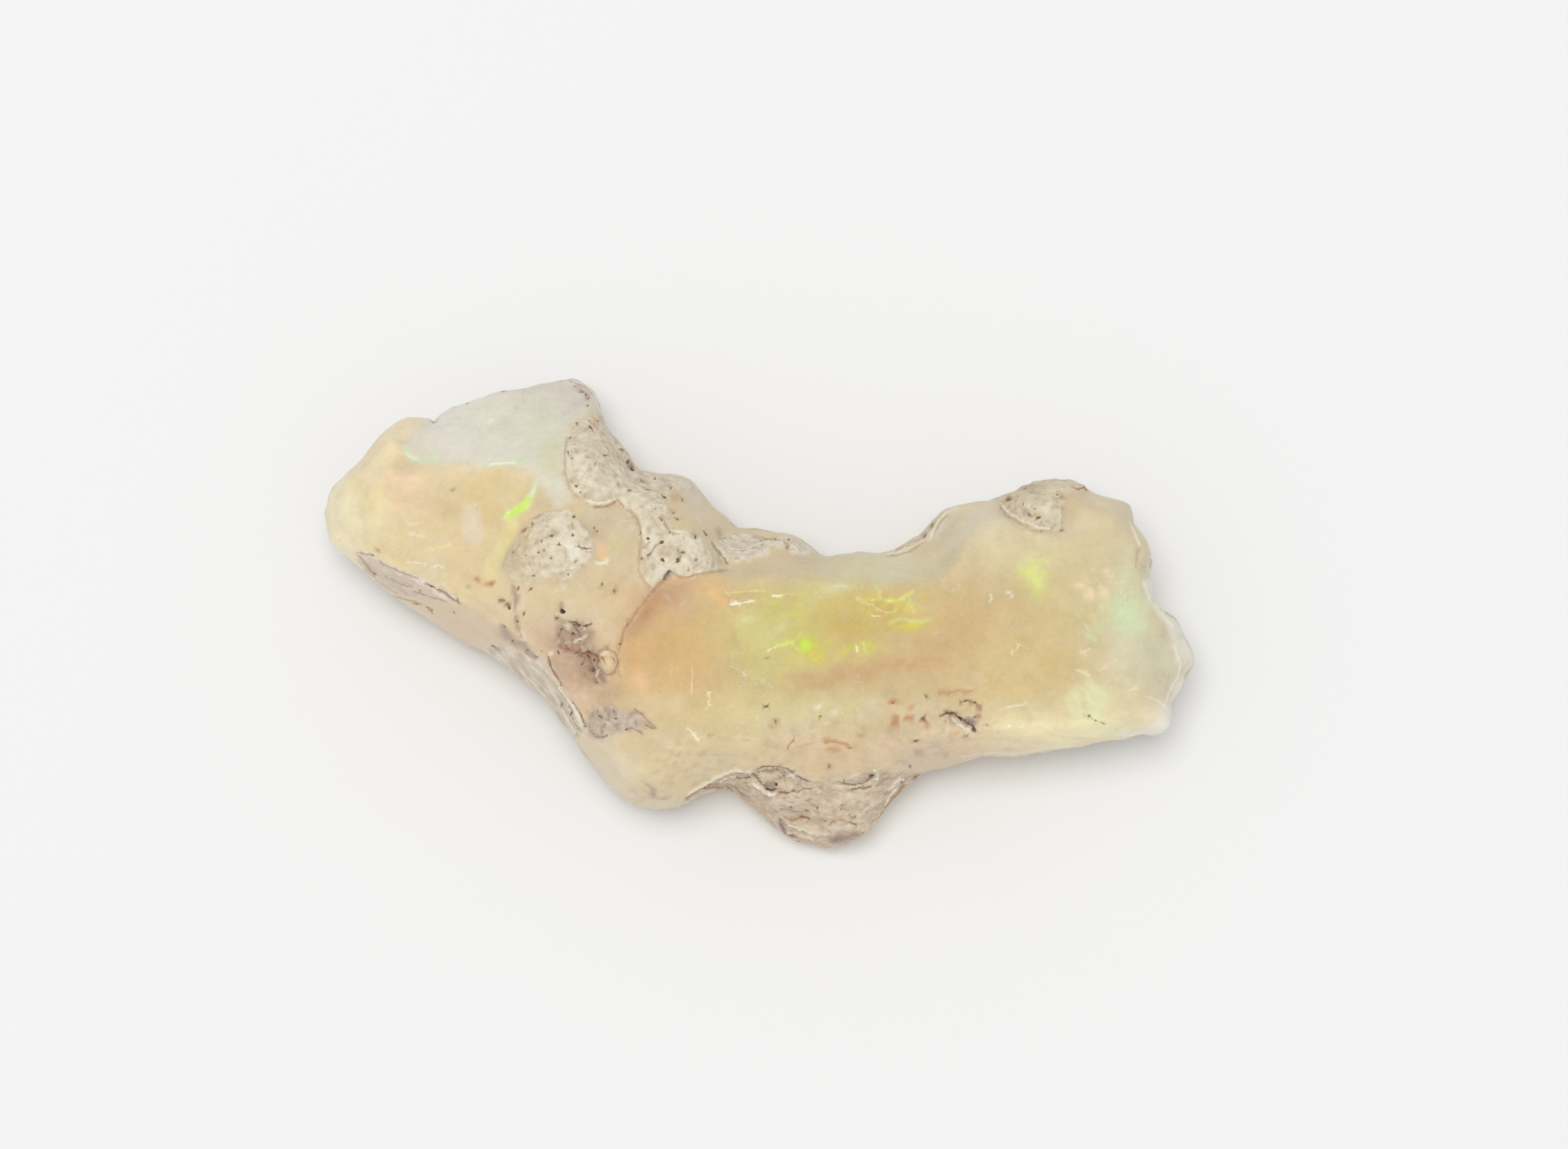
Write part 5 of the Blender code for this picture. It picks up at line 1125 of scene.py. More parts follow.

# Rows in the glint colour are painted highlights.
SPOTS = [
    # colour, strength, x, y, half length, half width, and turn if there is one
    ("olive brown", 0.8, -10.64, 4.27, 0.1, 0.07), ("pit brown", 0.6, -14.9, 3.93, 0.06, 0.06),
    ("olive brown", 0.6, -7.02, 4.17, 0.08, 0.05, 30), ("ash", 0.4, -8.45, 7.02, 0.12, 0.09),
    ("brown", 0.6, -13.18, 2.16, 0.12, 0.07, -20), ("brown", 0.5, -10.75, 1.1, 0.13, 0.07, -20),
    ("brown", 0.4, -10.02, 0.95, 0.12, 0.07, -20), ("ash", 0.5, -8.85, 7.66, 0.12, 0.06, 10),
    ("rust", 0.8, -9.75, 1.25, 0.22, 0.07, -55), ("rust", 0.8, -9.55, 1.06, 0.2, 0.07, -10),
    ("rust", 0.95, -9.28, 0.98, 0.2, 0.13, 15), ("glint", 0.5, -9.3, 6.65, 0.1, 0.07),
    ("mauve", 0.6, -7.72, 3.72, 0.35, 0.14, 35), ("dark mauve", 0.8, -7.65, 3.32, 0.25, 0.07, 12),
    ("rust", 0.6, -8.12, 2.86, 0.2, 0.1, 60), ("brown tan", 0.5, -8.45, 2.1, 0.25, 0.16),
    ("rock tan", 0.7, -8.5, 1.7, 0.45, 0.5, 30), ("rock tan", 0.5, -8.1, 2.4, 0.3, 0.4, 30),
    ("white bone", 0.8, -6.3, 2.05, 0.4, 0.5), ("glint", 0.6, -6.5, 2.3, 0.25, 0.1, -10),
    ("glint", 0.5, -6.45, 1.6, 0.12, 0.08), ("glint", 0.5, -7.35, 3.25, 0.06, 0.05),
    ("glint", 0.5, -7.2, 3.05, 0.06, 0.05), ("ash", 0.35, -7.1, 2.75, 0.4, 0.2, 20),
    ("ash", 0.3, -6.7, 1.8, 0.15, 0.15), ("white bone", 0.5, -7.9, 1.55, 0.3, 0.2),
    ("orange spot", 0.6, -5.45, 2.15, 0.28, 0.36), ("bright amber", 0.5, -5.4, 2.0, 0.2, 0.2),
    ("russet", 0.5, -5.72, 2.75, 0.12, 0.1), ("russet", 0.4, -5.55, 2.93, 0.08, 0.06),
    ("olive", 0.25, -4.9, 2.4, 0.4, 0.5), ("white milk", 0.6, -5.5, 1.72, 0.22, 0.08, 10),
    ("olive brown", 0.4, -5.45, 1.0, 0.15, 0.07, 70), ("olive brown", 0.35, -5.0, 0.82, 0.12, 0.06, 70),
    ("white milk", 0.5, -4.55, 3.5, 0.35, 0.05, -62), ("white milk", 0.5, -4.4, 2.95, 0.2, 0.12, -50),
    ("ash", 0.5, -3.2, 2.15, 0.4, 0.25, 20), ("ash", 0.4, -2.75, 2.05, 0.25, 0.2),
    ("ash", 0.35, -3.3, 4.4, 0.4, 0.25, -20), ("ash", 0.45, -4.05, 4.55, 0.3, 0.12, -15),
    ("ash", 0.4, -3.85, 4.27, 0.3, 0.12, -15), ("ash", 0.35, -3.25, 3.1, 0.12, 0.5, 20),
    ("brown tan", 0.6, -2.98, 3.55, 0.25, 0.14), ("brown tan", 0.5, -2.7, 3.27, 0.25, 0.08),
    ("rust", 0.35, -2.9, 4.0, 0.25, 0.25), ("brown tan", 0.35, -2.6, 3.9, 0.2, 0.15),
    ("white milk", 0.5, -2.1, 3.25, 0.08, 0.25, 10), ("green cream", 0.3, -2.5, 2.65, 0.3, 0.15),
    ("olive brown", 0.3, -2.25, 2.65, 0.2, 0.2), ("olive brown", 0.35, -1.4, 2.8, 0.15, 0.25),
    ("olive brown", 0.4, -1.3, 2.55, 0.15, 0.08), ("glint", 0.8, -2.15, 1.43, 0.1, 0.05, 20),
    ("russet", 0.5, -0.05, 2.6, 0.3, 0.08), ("brown tan", 0.4, -0.8, 2.68, 0.3, 0.06),
    ("rock tan", 0.5, 1.0, 2.35, 0.3, 0.12, 20), ("glint", 0.4, -0.6, 2.55, 0.06, 0.04),
    ("brown tan", 0.5, -4.35, 5.1, 0.12, 0.25, -60), ("pit brown", 0.6, -4.5, 5.05, 0.12, 0.22, 35),
    ("brown tan", 0.5, -5.55, 5.4, 0.2, 0.06, 30), ("white bone", 0.5, -6.0, 4.6, 0.5, 0.2, -50),
    ("rust", 0.3, -6.3, 6.5, 0.12, 0.2, -30), ("rust", 0.35, -5.7, 6.5, 0.12, 0.3, 20),
    ("dark mauve", 0.5, -6.2, 7.75, 0.3, 0.2, -20), ("spot mauve", 0.5, -5.95, 7.5, 0.15, 0.25, 30),
    # the waist
    ("shade brown", 0.7, -6.85, 0.25, 0.2, 0.15, 60), ("brown", 0.6, -7.0, -0.15, 0.15, 0.08, 50),
    ("dark mauve", 0.5, -8.45, 0.55, 0.12, 0.35, 10), ("white milk", 0.4, -8.2, 0.45, 0.1, 0.4),
    ("white milk", 0.5, -8.0, 1.1, 0.3, 0.08, 30), ("white milk", 0.5, -6.8, 0.88, 0.35, 0.06, 15),
    ("white milk", 0.4, -6.6, 0.4, 0.18, 0.06, 5), ("ash", 0.7, -8.75, -0.7, 0.22, 0.3, 30),
    ("ash", 0.8, -8.35, -1.05, 0.35, 0.18, -35), ("ash", 0.8, -7.95, -1.4, 0.3, 0.12, -35),
    ("dark mauve", 0.6, -8.65, -0.85, 0.2, 0.1, 20), ("ash", 0.4, -8.35, -0.3, 0.15, 0.4, 10),
    ("white milk", 0.6, -8.15, -0.75, 0.06, 0.25, 20), ("brown", 0.5, -9.05, -1.2, 0.2, 0.05, -30),
    ("white bone", 0.7, -6.6, -0.48, 0.18, 0.14), ("white bone", 0.7, -6.1, -0.5, 0.12, 0.07, -20),
    ("white bone", 0.9, -6.2, -0.88, 0.24, 0.12, 25), ("white bone", 0.8, -7.2, -1.4, 0.18, 0.12, 30),
    ("russet", 0.8, -6.45, -1.2, 0.4, 0.18), ("brown", 0.6, -5.95, -1.5, 0.22, 0.2),
    ("dark mauve", 0.5, -5.75, -1.95, 0.22, 0.35, 20), ("brown", 0.5, -5.68, -2.25, 0.15, 0.18),
    ("white milk", 0.9, -5.62, -2.05, 0.05, 0.2, -20), ("white milk", 0.5, -5.25, -2.25, 0.12, 0.08),
    ("waist", 0.7, -5.2, -1.65, 0.25, 0.33), ("rust", 0.5, -5.3, -1.6, 0.05, 0.25, 10),
    ("brown tan", 0.6, -5.08, -1.75, 0.06, 0.2), ("white bone", 0.6, -5.35, -1.45, 0.1, 0.05, 30),
    ("russet", 0.5, -5.45, -2.3, 0.2, 0.08, -20), ("russet", 0.4, -6.8, -2.2, 0.2, 0.12, -50),
    ("white milk", 0.5, -6.95, -2.5, 0.05, 0.2, 30), ("mauve", 0.5, -6.0, -3.0, 0.25, 0.12),
    ("dark mauve", 0.5, -5.05, -3.38, 0.25, 0.12), ("dark mauve", 0.5, -5.6, -4.2, 0.35, 0.1),
    ("dark mauve", 0.35, -5.5, -3.6, 0.15, 0.12, -30), ("white milk", 0.4, -5.1, -3.75, 0.3, 0.1),
    ("rosy", 0.5, -3.9, -3.75, 0.35, 0.15, -30), ("white milk", 0.3, -4.3, -4.35, 0.06, 0.2),
    # the window
    ("plum", 0.7, -3.65, 0.78, 0.14, 0.09, 60), ("plum", 0.6, -3.2, 1.3, 0.2, 0.08, 55),
    ("brown", 0.6, -3.95, 0.08, 0.07, 0.06), ("plum", 0.7, -4.57, -0.42, 0.12, 0.05, 65),
    ("brown", 0.5, -4.35, 0.15, 0.1, 0.06, 60), ("dark", 0.6, -4.8, -1.05, 0.05, 0.05),
    ("white milk", 0.6, -3.2, 0.6, 0.1, 0.14, 60), ("white milk", 0.5, -2.75, 0.32, 0.18, 0.07, 30),
    ("white milk", 0.3, -3.0, 0.45, 0.2, 0.1), ("bright amber", 0.7, -1.5, 0.62, 0.4, 0.1, -12),
    ("bright amber", 0.6, -1.3, 0.35, 0.35, 0.07, -25), ("pale amber", 0.6, -1.9, 1.1, 0.4, 0.12),
    ("window honey", 0.6, -0.6, 0.78, 0.5, 0.1, 5), ("olive brown", 0.7, 0.22, -3.22, 0.12, 0.09),
    ("olive brown", 0.5, 0.25, -1.55, 0.07, 0.05), ("olive brown", 0.6, 2.1, -3.56, 0.08, 0.05),
    ("olive brown", 0.5, 0.55, -3.72, 0.1, 0.05, 60), ("rust", 0.45, 0.4, -3.95, 0.13, 0.09),
    ("olive brown", 0.4, -1.7, -4.25, 0.12, 0.14), ("rust", 0.35, -0.82, -3.82, 0.09, 0.06),
    ("rust", 0.3, -1.0, -4.1, 0.12, 0.09), ("rust", 0.25, -0.6, -4.12, 0.1, 0.07),
    ("glint", 0.6, 2.0, -3.2, 0.3, 0.12, 20), ("glint", 0.45, 2.6, -3.35, 0.35, 0.14, 10),
    ("glint", 0.5, 0.2, -3.46, 0.3, 0.04), ("mauve", 0.5, 3.8, -3.4, 0.35, 0.15),
    ("yellow lime", 0.4, 5.2, -3.0, 0.3, 0.1, 10),
    # rust and pits at the lower edge
    ("rust", 0.9, 4.68, -3.7, 0.16, 0.2, -20), ("rust", 0.7, 4.6, -3.06, 0.2, 0.09, 15),
    ("rust", 0.55, 5.2, -3.3, 0.22, 0.16, 20), ("rust", 0.8, 5.15, -3.65, 0.25, 0.14, -30),
    ("brown", 0.8, 5.62, -3.63, 0.15, 0.1, 20), ("rust", 0.8, 5.8, -3.88, 0.2, 0.11, -50),
    ("rust", 0.45, 6.25, -3.5, 0.12, 0.08), ("rust", 0.4, 6.42, -3.9, 0.1, 0.2),
    ("peach tan", 0.7, 7.05, -3.4, 0.3, 0.16), ("russet", 0.9, 7.5, -3.25, 0.14, 0.14, -30),
    ("russet", 0.9, 7.55, -3.55, 0.16, 0.18), ("plum", 0.95, 7.25, -3.75, 0.38, 0.22, -10),
    ("plum", 0.7, 7.4, -4.02, 0.12, 0.14), ("dark", 0.6, 6.55, -3.44, 0.25, 0.04, 5),
    ("ash", 0.8, 6.6, -3.68, 0.25, 0.1, -35), ("white milk", 0.9, 6.78, -3.75, 0.28, 0.05, -35),
    ("white milk", 0.8, 7.15, -3.97, 0.2, 0.05, -10), ("white milk", 0.6, 6.5, -3.95, 0.08, 0.2),
    ("brown", 0.6, 7.08, -4.25, 0.08, 0.12), ("brown", 0.6, 5.4, -4.42, 0.13, 0.09, 20),
    ("shade brown", 0.5, 5.5, -4.8, 0.25, 0.14, -40), ("shade brown", 0.5, 6.4, -4.9, 0.2, 0.1, 60),
    ("shade brown", 0.4, 6.15, -4.85, 0.2, 0.08, 20), ("brown", 0.5, 5.2, -5.3, 0.12, 0.05, -80),
    ("brown", 0.7, 5.42, -5.62, 0.25, 0.05, 30), ("shade brown", 0.4, 5.0, -5.15, 0.3, 0.12, -20),
    ("rust", 0.4, 7.85, -3.88, 0.07, 0.06), ("olive brown", 0.6, 5.75, -2.88, 0.1, 0.06, 70),
    ("brown", 0.5, 2.38, -5.28, 0.12, 0.09, 30), ("brown", 0.5, 3.12, -4.65, 0.08, 0.06),
    ("rust", 0.45, 2.55, -4.68, 0.35, 0.16), ("rust", 0.3, 2.3, -4.3, 0.3, 0.1, 10),
    ("rust", 0.3, 1.0, -4.7, 0.15, 0.1), ("olive brown", 0.35, 3.95, -4.88, 0.15, 0.06, 30),
    ("olive brown", 0.3, 3.5, -4.2, 0.12, 0.12), ("olive brown", 0.3, -3.3, -5.1, 0.15, 0.1),
    ("olive brown", 0.25, -2.8, -4.85, 0.2, 0.1, 40), ("pink rim", 0.5, 8.55, -4.72, 0.5, 0.15),
    ("rust", 0.3, 8.3, -4.58, 0.1, 0.05), ("rust", 0.3, 8.55, -4.68, 0.07, 0.05),
    ("spot mauve", 0.95, -3.68, -6.2, 0.2, 0.26), ("spot mauve", 0.7, -3.8, -5.98, 0.05, 0.2, 25),
    ("spot mauve", 0.7, -3.6, -5.95, 0.04, 0.2, -10), ("brown tan", 0.6, -4.35, -6.1, 0.25, 0.08, -50),
    ("spot mauve", 0.5, -3.3, -6.4, 0.3, 0.1), ("brown tan", 0.4, -4.1, -6.45, 0.3, 0.1, -10),
    # the knob
    ("low cream", 0.95, 0.35, -5.6, 0.5, 0.17, 3), ("bone", 0.8, 0.1, -5.75, 0.2, 0.1, -50),
    ("plum", 0.9, 0.35, -5.92, 0.24, 0.18, -15), ("dark", 0.8, 0.57, -5.88, 0.08, 0.06, 40),
    ("ash", 0.6, 0.3, -5.88, 0.12, 0.08, -15), ("plum", 0.6, 0.72, -5.45, 0.14, 0.06, -25),
    ("white milk", 0.8, 0.0, -5.95, 0.25, 0.07, -60), ("white milk", 0.9, 0.35, -6.25, 0.3, 0.07, -10),
    ("low cream", 0.9, 1.0, -5.82, 0.48, 0.16, 12), ("ash", 0.8, 0.8, -5.43, 0.3, 0.12, -25),
    ("white milk", 0.7, 1.2, -5.62, 0.06, 0.14), ("olive brown", 0.6, 0.3, -5.42, 0.35, 0.08, 5),
    ("ash", 0.5, 1.35, -5.9, 0.25, 0.14, 60), ("white milk", 0.6, 1.0, -6.05, 0.3, 0.05, 10),
    ("spot mauve", 0.5, 1.6, -5.8, 0.15, 0.06, -20), ("ash", 0.7, -1.3, -6.1, 0.4, 0.14, -10),
    ("dark mauve", 0.6, -0.95, -6.25, 0.35, 0.12, -50), ("ash", 0.6, -0.45, -6.35, 0.3, 0.1, -55),
    ("dark", 0.8, 3.85, -5.62, 0.14, 0.1, 40), ("dark mauve", 0.8, 3.65, -5.72, 0.25, 0.12, 20),
    ("white milk", 0.6, 3.3, -5.6, 0.35, 0.06, 20), ("white milk", 0.5, 4.0, -5.5, 0.06, 0.18),
    ("ash", 0.5, 3.2, -5.8, 0.3, 0.12), ("white milk", 0.7, 4.7, -6.0, 0.1, 0.4, -35),
    ("dark mauve", 0.7, 4.95, -5.85, 0.08, 0.25, -10), ("white milk", 0.6, 4.85, -5.65, 0.2, 0.05, 30),
    ("ash", 0.95, 2.95, -7.7, 0.66, 0.26, 12), ("plum", 0.85, 2.65, -7.8, 0.42, 0.2),
    ("plum", 0.7, 3.25, -7.68, 0.4, 0.18, 12), ("low cream", 0.8, 1.7, -7.45, 0.7, 0.16, -14),
    ("white milk", 0.5, 2.9, -7.4, 0.5, 0.08, 10), ("low cream", 0.7, 1.6, -7.75, 0.5, 0.1, -12),
    ("plum", 0.7, 0.8, -7.35, 0.12, 0.25, 25), ("russet", 0.6, 1.2, -7.12, 0.3, 0.07),
    ("russet", 0.5, 1.65, -7.18, 0.2, 0.06, 10), ("ash", 0.5, 0.9, -6.8, 0.35, 0.08, 5),
    ("ash", 0.5, 1.6, -6.85, 0.3, 0.1), ("white milk", 0.5, 1.3, -6.75, 0.08, 0.12),
    ("white milk", 0.5, 1.9, -6.9, 0.12, 0.06), ("white milk", 0.5, 2.75, -6.9, 0.1, 0.08),
    ("ash", 0.5, 2.9, -6.6, 0.2, 0.14, 40), ("pink tan", 0.5, 2.3, -7.2, 0.6, 0.2),
    ("low cream", 0.5, 0.6, -7.15, 0.2, 0.12, -40), ("wall tan", 0.6, -0.2, -6.75, 0.9, 0.2, -32),
    # the right lobe
    ("olive brown", 0.6, 8.62, 3.93, 0.16, 0.1, 50), ("pit brown", 0.4, 8.4, 3.8, 0.08, 0.05),
    ("ash", 0.5, 9.3, 4.3, 0.5, 0.16, 12), ("ash", 0.4, 9.5, 4.1, 0.3, 0.1),
    ("ash", 0.8, 9.2, 3.5, 0.35, 0.14, -45), ("pit brown", 0.7, 9.6, 3.28, 0.14, 0.05, 40),
    ("russet", 0.8, 10.42, 3.98, 0.14, 0.12), ("russet", 0.4, 10.3, 4.12, 0.12, 0.08),
    ("rosy", 0.5, 10.45, 3.65, 0.1, 0.16), ("russet", 0.5, 9.72, 2.82, 0.07, 0.05),
    ("russet", 0.5, 10.38, 2.9, 0.1, 0.06, 30), ("brown tan", 0.4, 8.9, 3.45, 0.1, 0.08),
    ("pink low", 0.5, 11.0, 4.2, 0.35, 0.1), ("white milk", 0.7, 9.85, 2.85, 0.16, 0.04),
    ("white milk", 0.5, 9.9, 3.6, 0.2, 0.3), ("peach", 0.5, 10.8, 2.5, 0.16, 0.06),
    ("brown tan", 0.5, 13.08, 2.18, 0.1, 0.1), ("brown tan", 0.5, 13.2, 1.55, 0.2, 0.1, 50),
    ("shade brown", 0.35, 13.0, 2.0, 0.1, 0.3), ("ash", 0.4, 7.55, 3.88, 0.12, 0.04),
    ("ash", 0.6, 5.68, 2.68, 0.2, 0.14, 60), ("olive brown", 0.6, 5.93, 3.02, 0.12, 0.1, 30),
    ("white milk", 0.7, 6.65, 3.6, 0.14, 0.12), ("white milk", 0.6, 6.3, 3.0, 0.08, 0.5, -30),
    ("white milk", 0.5, 5.95, 2.7, 0.06, 0.3, -20), ("white milk", 0.5, 6.6, 3.2, 0.05, 0.3, -30),
    ("glint", 0.6, 4.7, 2.12, 0.4, 0.05, 15), ("olive brown", 0.6, 11.36, -3.54, 0.1, 0.07),
    ("right green", 0.6, 13.6, -0.4, 0.6, 0.06, -10), ("dim green", 0.6, 13.8, 0.15, 0.3, 0.07, -40),
]

for name, strength, x, y, length, width, *turn in SPOTS:
    share = spot(jagged, (x, y), (length * SPOT_WIDTH, width * SPOT_WIDTH), *turn)
    lay(name, strength * touch * smooth_step(0.12, 0.75, share) * shown)
for name, strength, width, corners in GLINTS_AND_STREAKS:
    lay(name, GLINT_AND_STREAK_STRENGTH * strength * drawn(corners, width * GLINT_AND_STREAK_WIDTH, seen) * shown)
near_wall = smooth_step(0.15, 0.7, -normals[:, 1]) * smooth_step(1.0, 0.7, np.abs(normals[:, 2]))
colour *= 1.0 + WALL_GLOW * near_wall[:, None]
print(len(SPOTS), "spots,", len(GLINTS_AND_STREAKS), "scratches; mean colour", (colour.mean(axis=0) * 255).round())

# %% [markdown]
# ## Handing the colour to the material
# The layers become a colour attribute and the crumbling share a plain attribute, which the shader
# reads by name. Blender stores colour for the shader in linear light, so the daylight values are
# converted. What the gloss will add is taken off first, and the rest divided by the light's strength.

# %% Write the attributes
def linear(values):
    """Daylight colour values turned into linear light."""
    return np.where(values <= 0.04045, values / 12.92, ((values + 0.055) / 1.055) ** 2.4)


def keep(mesh, name, kind, values):
    """Stores one value or colour for each point of the mesh."""
    field = "color" if kind == "FLOAT_COLOR" else "value"
    mesh.attributes.new(name, kind, "POINT").data.foreach_set(field, values.ravel())


DAYLIGHT = 1.02
GLOSS = 0.025
DARKEST, LIGHTEST = 0.01, 0.95

albedo = (linear(np.clip(colour, 0.0, 1.0)) - GLOSS) / DAYLIGHT
laid = np.column_stack([np.clip(albedo, DARKEST, LIGHTEST), np.ones(len(colour))])
keep(mesh, "laid colour", "FLOAT_COLOR", laid)
keep(mesh, "crumbling", "FLOAT", crumbling)
print("attributes:", [kept.name for kept in mesh.attributes if kept.domain == "POINT"])

# %% [markdown]
# ## Detail finer than the mesh
# A grain of a twentieth of a millimetre would need millions of faces, so it lives in the shader. Four
# node groups make it, each with named inputs in millimetres: grain for the mottled colour and its
# bump, pores for pinholes, hairlines for the healed cracks in the rock and for faint painted glints in
# the opal, and crumbs for the loose bits of weathered rock. They read Object coordinates, which stay
# with the stone when it is turned.

# %% Node helpers
def step(tree, operation, *inputs):
    """A math node whose inputs are numbers or sockets; gives its output."""
    node = tree.nodes.new("ShaderNodeMath")
    node.operation = operation
    for socket, value in zip(node.inputs, inputs):
        if isinstance(value, (int, float)):
            socket.default_value = value
        else:
            tree.links.new(value, socket)
    return node.outputs[0]


def ramp(tree, value, low, high):
    """A map range node: 0 at low, 1 at high, with soft ends."""
    node = tree.nodes.new("ShaderNodeMapRange")
    node.interpolation_type = "SMOOTHSTEP"
    for name, given in (("Value", value), ("From Min", low), ("From Max", high)):
        if isinstance(given, (int, float)):
            node.inputs[name].default_value = given
        else:
            tree.links.new(given, node.inputs[name])
    return node.outputs["Result"]


def grown_noise(tree, place, size, detail, roughness=0.6):
    """A noise texture whose lumps have a size in millimetres, given as a number or a socket."""
    node = tree.nodes.new("ShaderNodeTexNoise")
    node.inputs["Detail"].default_value = detail
    node.inputs["Roughness"].default_value = roughness
    tree.links.new(place, node.inputs["Vector"])
    tree.links.new(step(tree, "DIVIDE", 1.0 / MM, size), node.inputs["Scale"])
    return node


def new_group(name, inputs, outputs):
    """A shader group with number inputs and outputs; gives it, its two ends and its coordinates."""
    group = bpy.data.node_groups.new(name, "ShaderNodeTree")
    for socket, value in inputs.items():
        item = group.interface.new_socket(socket, in_out="INPUT", socket_type="NodeSocketFloat")
        item.default_value = value
    for socket in outputs:
        group.interface.new_socket(socket, in_out="OUTPUT", socket_type="NodeSocketFloat")
    given, out = group.nodes.new("NodeGroupInput"), group.nodes.new("NodeGroupOutput")
    place = group.nodes.new("ShaderNodeTexCoord").outputs["Object"]
    return group, given.outputs, out.inputs, place


# %% [markdown]
# ## Grain, pores, hairlines and crumbs
# Grain is plain noise: its height goes to the bump, its shade multiplies the colour. Pores are the
# middles of Voronoi cells, of which a share is chosen by each cell's random colour. A hairline is the
# thin place where a smooth noise passes its middle value, kept only where a second noise allows it.
# Crumbs are whole Voronoi cells, each with a tone of its own and a gap round it here and there.

# %% Four node groups
def grain_group():
    """Mottled grain of one size: a Height for bump and a Shade around 1 for the colour."""
    group, given, out, place = new_group("grain", {"Size": 0.1, "Contrast": 0.1}, ("Height", "Shade"))
    grain = grown_noise(group, place, given["Size"], 4.0, 0.65).outputs["Fac"]
    centred = step(group, "SUBTRACT", grain, 0.5)
    group.links.new(grain, out["Height"])
    group.links.new(step(group, "MULTIPLY_ADD", centred, given["Contrast"], 1.0), out["Shade"])
    return group


def pores_group():
    """Scattered pinholes: a Mask that is 1 in them."""
    inputs = {"Spacing": 0.3, "Radius": 0.05, "Amount": 0.3}
    group, given, out, place = new_group("pores", inputs, ("Mask",))
    warp = grown_noise(group, place, step(group, "MULTIPLY", given["Spacing"], 0.35), 2.0).outputs["Color"]
    bent = group.nodes.new("ShaderNodeVectorMath")
    bent.operation = "MULTIPLY_ADD"
    bent.inputs[1].default_value = (0.08 * MM, 0.08 * MM, 0.08 * MM)
    group.links.new(warp, bent.inputs[0])
    group.links.new(place, bent.inputs[2])
    cells = group.nodes.new("ShaderNodeTexVoronoi")
    group.links.new(bent.outputs["Vector"], cells.inputs["Vector"])
    group.links.new(step(group, "DIVIDE", 1.0 / MM, given["Spacing"]), cells.inputs["Scale"])
    chance = group.nodes.new("ShaderNodeSeparateColor")
    group.links.new(cells.outputs["Color"], chance.inputs[0])
    share = step(group, "DIVIDE", given["Radius"], given["Spacing"])
    radius = step(group, "MULTIPLY", share, step(group, "MULTIPLY_ADD", chance.outputs["Green"], 1.2, 0.4))
    hole = ramp(group, cells.outputs["Distance"], radius, step(group, "MULTIPLY", radius, 0.4))
    chosen = step(group, "LESS_THAN", chance.outputs["Red"], given["Amount"])
    group.links.new(step(group, "MULTIPLY", hole, chosen), out["Mask"])
    return group


def hairlines_group():
    """Thin wandering lines: a Mask that is 1 on them."""
    inputs = {"Size": 2.0, "Width": 0.01, "Amount": 0.4}
    group, given, out, place = new_group("hairlines", inputs, ("Mask",))
    field = grown_noise(group, place, given["Size"], 4.0).outputs["Fac"]
    away = step(group, "ABSOLUTE", step(group, "SUBTRACT", field, 0.5))
    line = ramp(group, away, given["Width"], 0.0)
    allowed = grown_noise(group, place, step(group, "MULTIPLY", given["Size"], 0.7), 2.0).outputs["Color"]
    channel = group.nodes.new("ShaderNodeSeparateColor")
    group.links.new(allowed, channel.inputs[0])
    limit = step(group, "SUBTRACT", 0.8, step(group, "MULTIPLY", given["Amount"], 0.6))
    kept = ramp(group, channel.outputs["Blue"], limit, step(group, "ADD", limit, 0.08))
    group.links.new(step(group, "MULTIPLY", line, kept), out["Mask"])
    return group


def crumbs_group():
    """Packed crumbs: a random Tone for each, a Gap mask between some of them, and their Height."""
    group, given, out, place = new_group("crumbs", {"Size": 0.2}, ("Tone", "Gap", "Height"))
    bend = grown_noise(group, place, step(group, "MULTIPLY", given["Size"], 0.6), 3.0).outputs["Color"]
    bent = group.nodes.new("ShaderNodeVectorMath")
    bent.operation = "SCALE"
    group.links.new(bend, bent.inputs[0])
    group.links.new(step(group, "MULTIPLY", given["Size"], 0.9 * MM), bent.inputs["Scale"])
    moved = group.nodes.new("ShaderNodeVectorMath")
    group.links.new(place, moved.inputs[0])
    group.links.new(bent.outputs["Vector"], moved.inputs[1])
    rate = step(group, "DIVIDE", 1.0 / MM, given["Size"])
    cells, edges = group.nodes.new("ShaderNodeTexVoronoi"), group.nodes.new("ShaderNodeTexVoronoi")
    edges.feature = "DISTANCE_TO_EDGE"
    for node in (cells, edges):
        group.links.new(moved.outputs["Vector"], node.inputs["Vector"])
        group.links.new(rate, node.inputs["Scale"])
    chance = group.nodes.new("ShaderNodeSeparateColor")
    group.links.new(cells.outputs["Color"], chance.inputs[0])
    group.links.new(chance.outputs["Red"], out["Tone"])
    patches = grown_noise(group, place, step(group, "MULTIPLY", given["Size"], 2.5), 2.0).outputs["Fac"]
    open_share = ramp(group, patches, 0.45, 0.6)
    gap = ramp(group, edges.outputs["Distance"], 0.13, 0.0)
    group.links.new(step(group, "MULTIPLY", gap, open_share), out["Gap"])
    group.links.new(ramp(group, edges.outputs["Distance"], 0.0, 0.35), out["Height"])
    return group


GRAIN, PORES, HAIRLINES, CRUMBS = grain_group(), pores_group(), hairlines_group(), crumbs_group()
print("groups:", [group.name for group in (GRAIN, PORES, HAIRLINES, CRUMBS)])

# %% [markdown]
# ## Milky opal and host rock
# Opal takes light in and gives it back softened. Subsurface scattering does that, with a radius
# of about a millimetre. Rock is matt and crisp, so its faces get a second material with little of it.
# Both read the laid colour, and both use the four groups, each with sizes and strengths of its own.

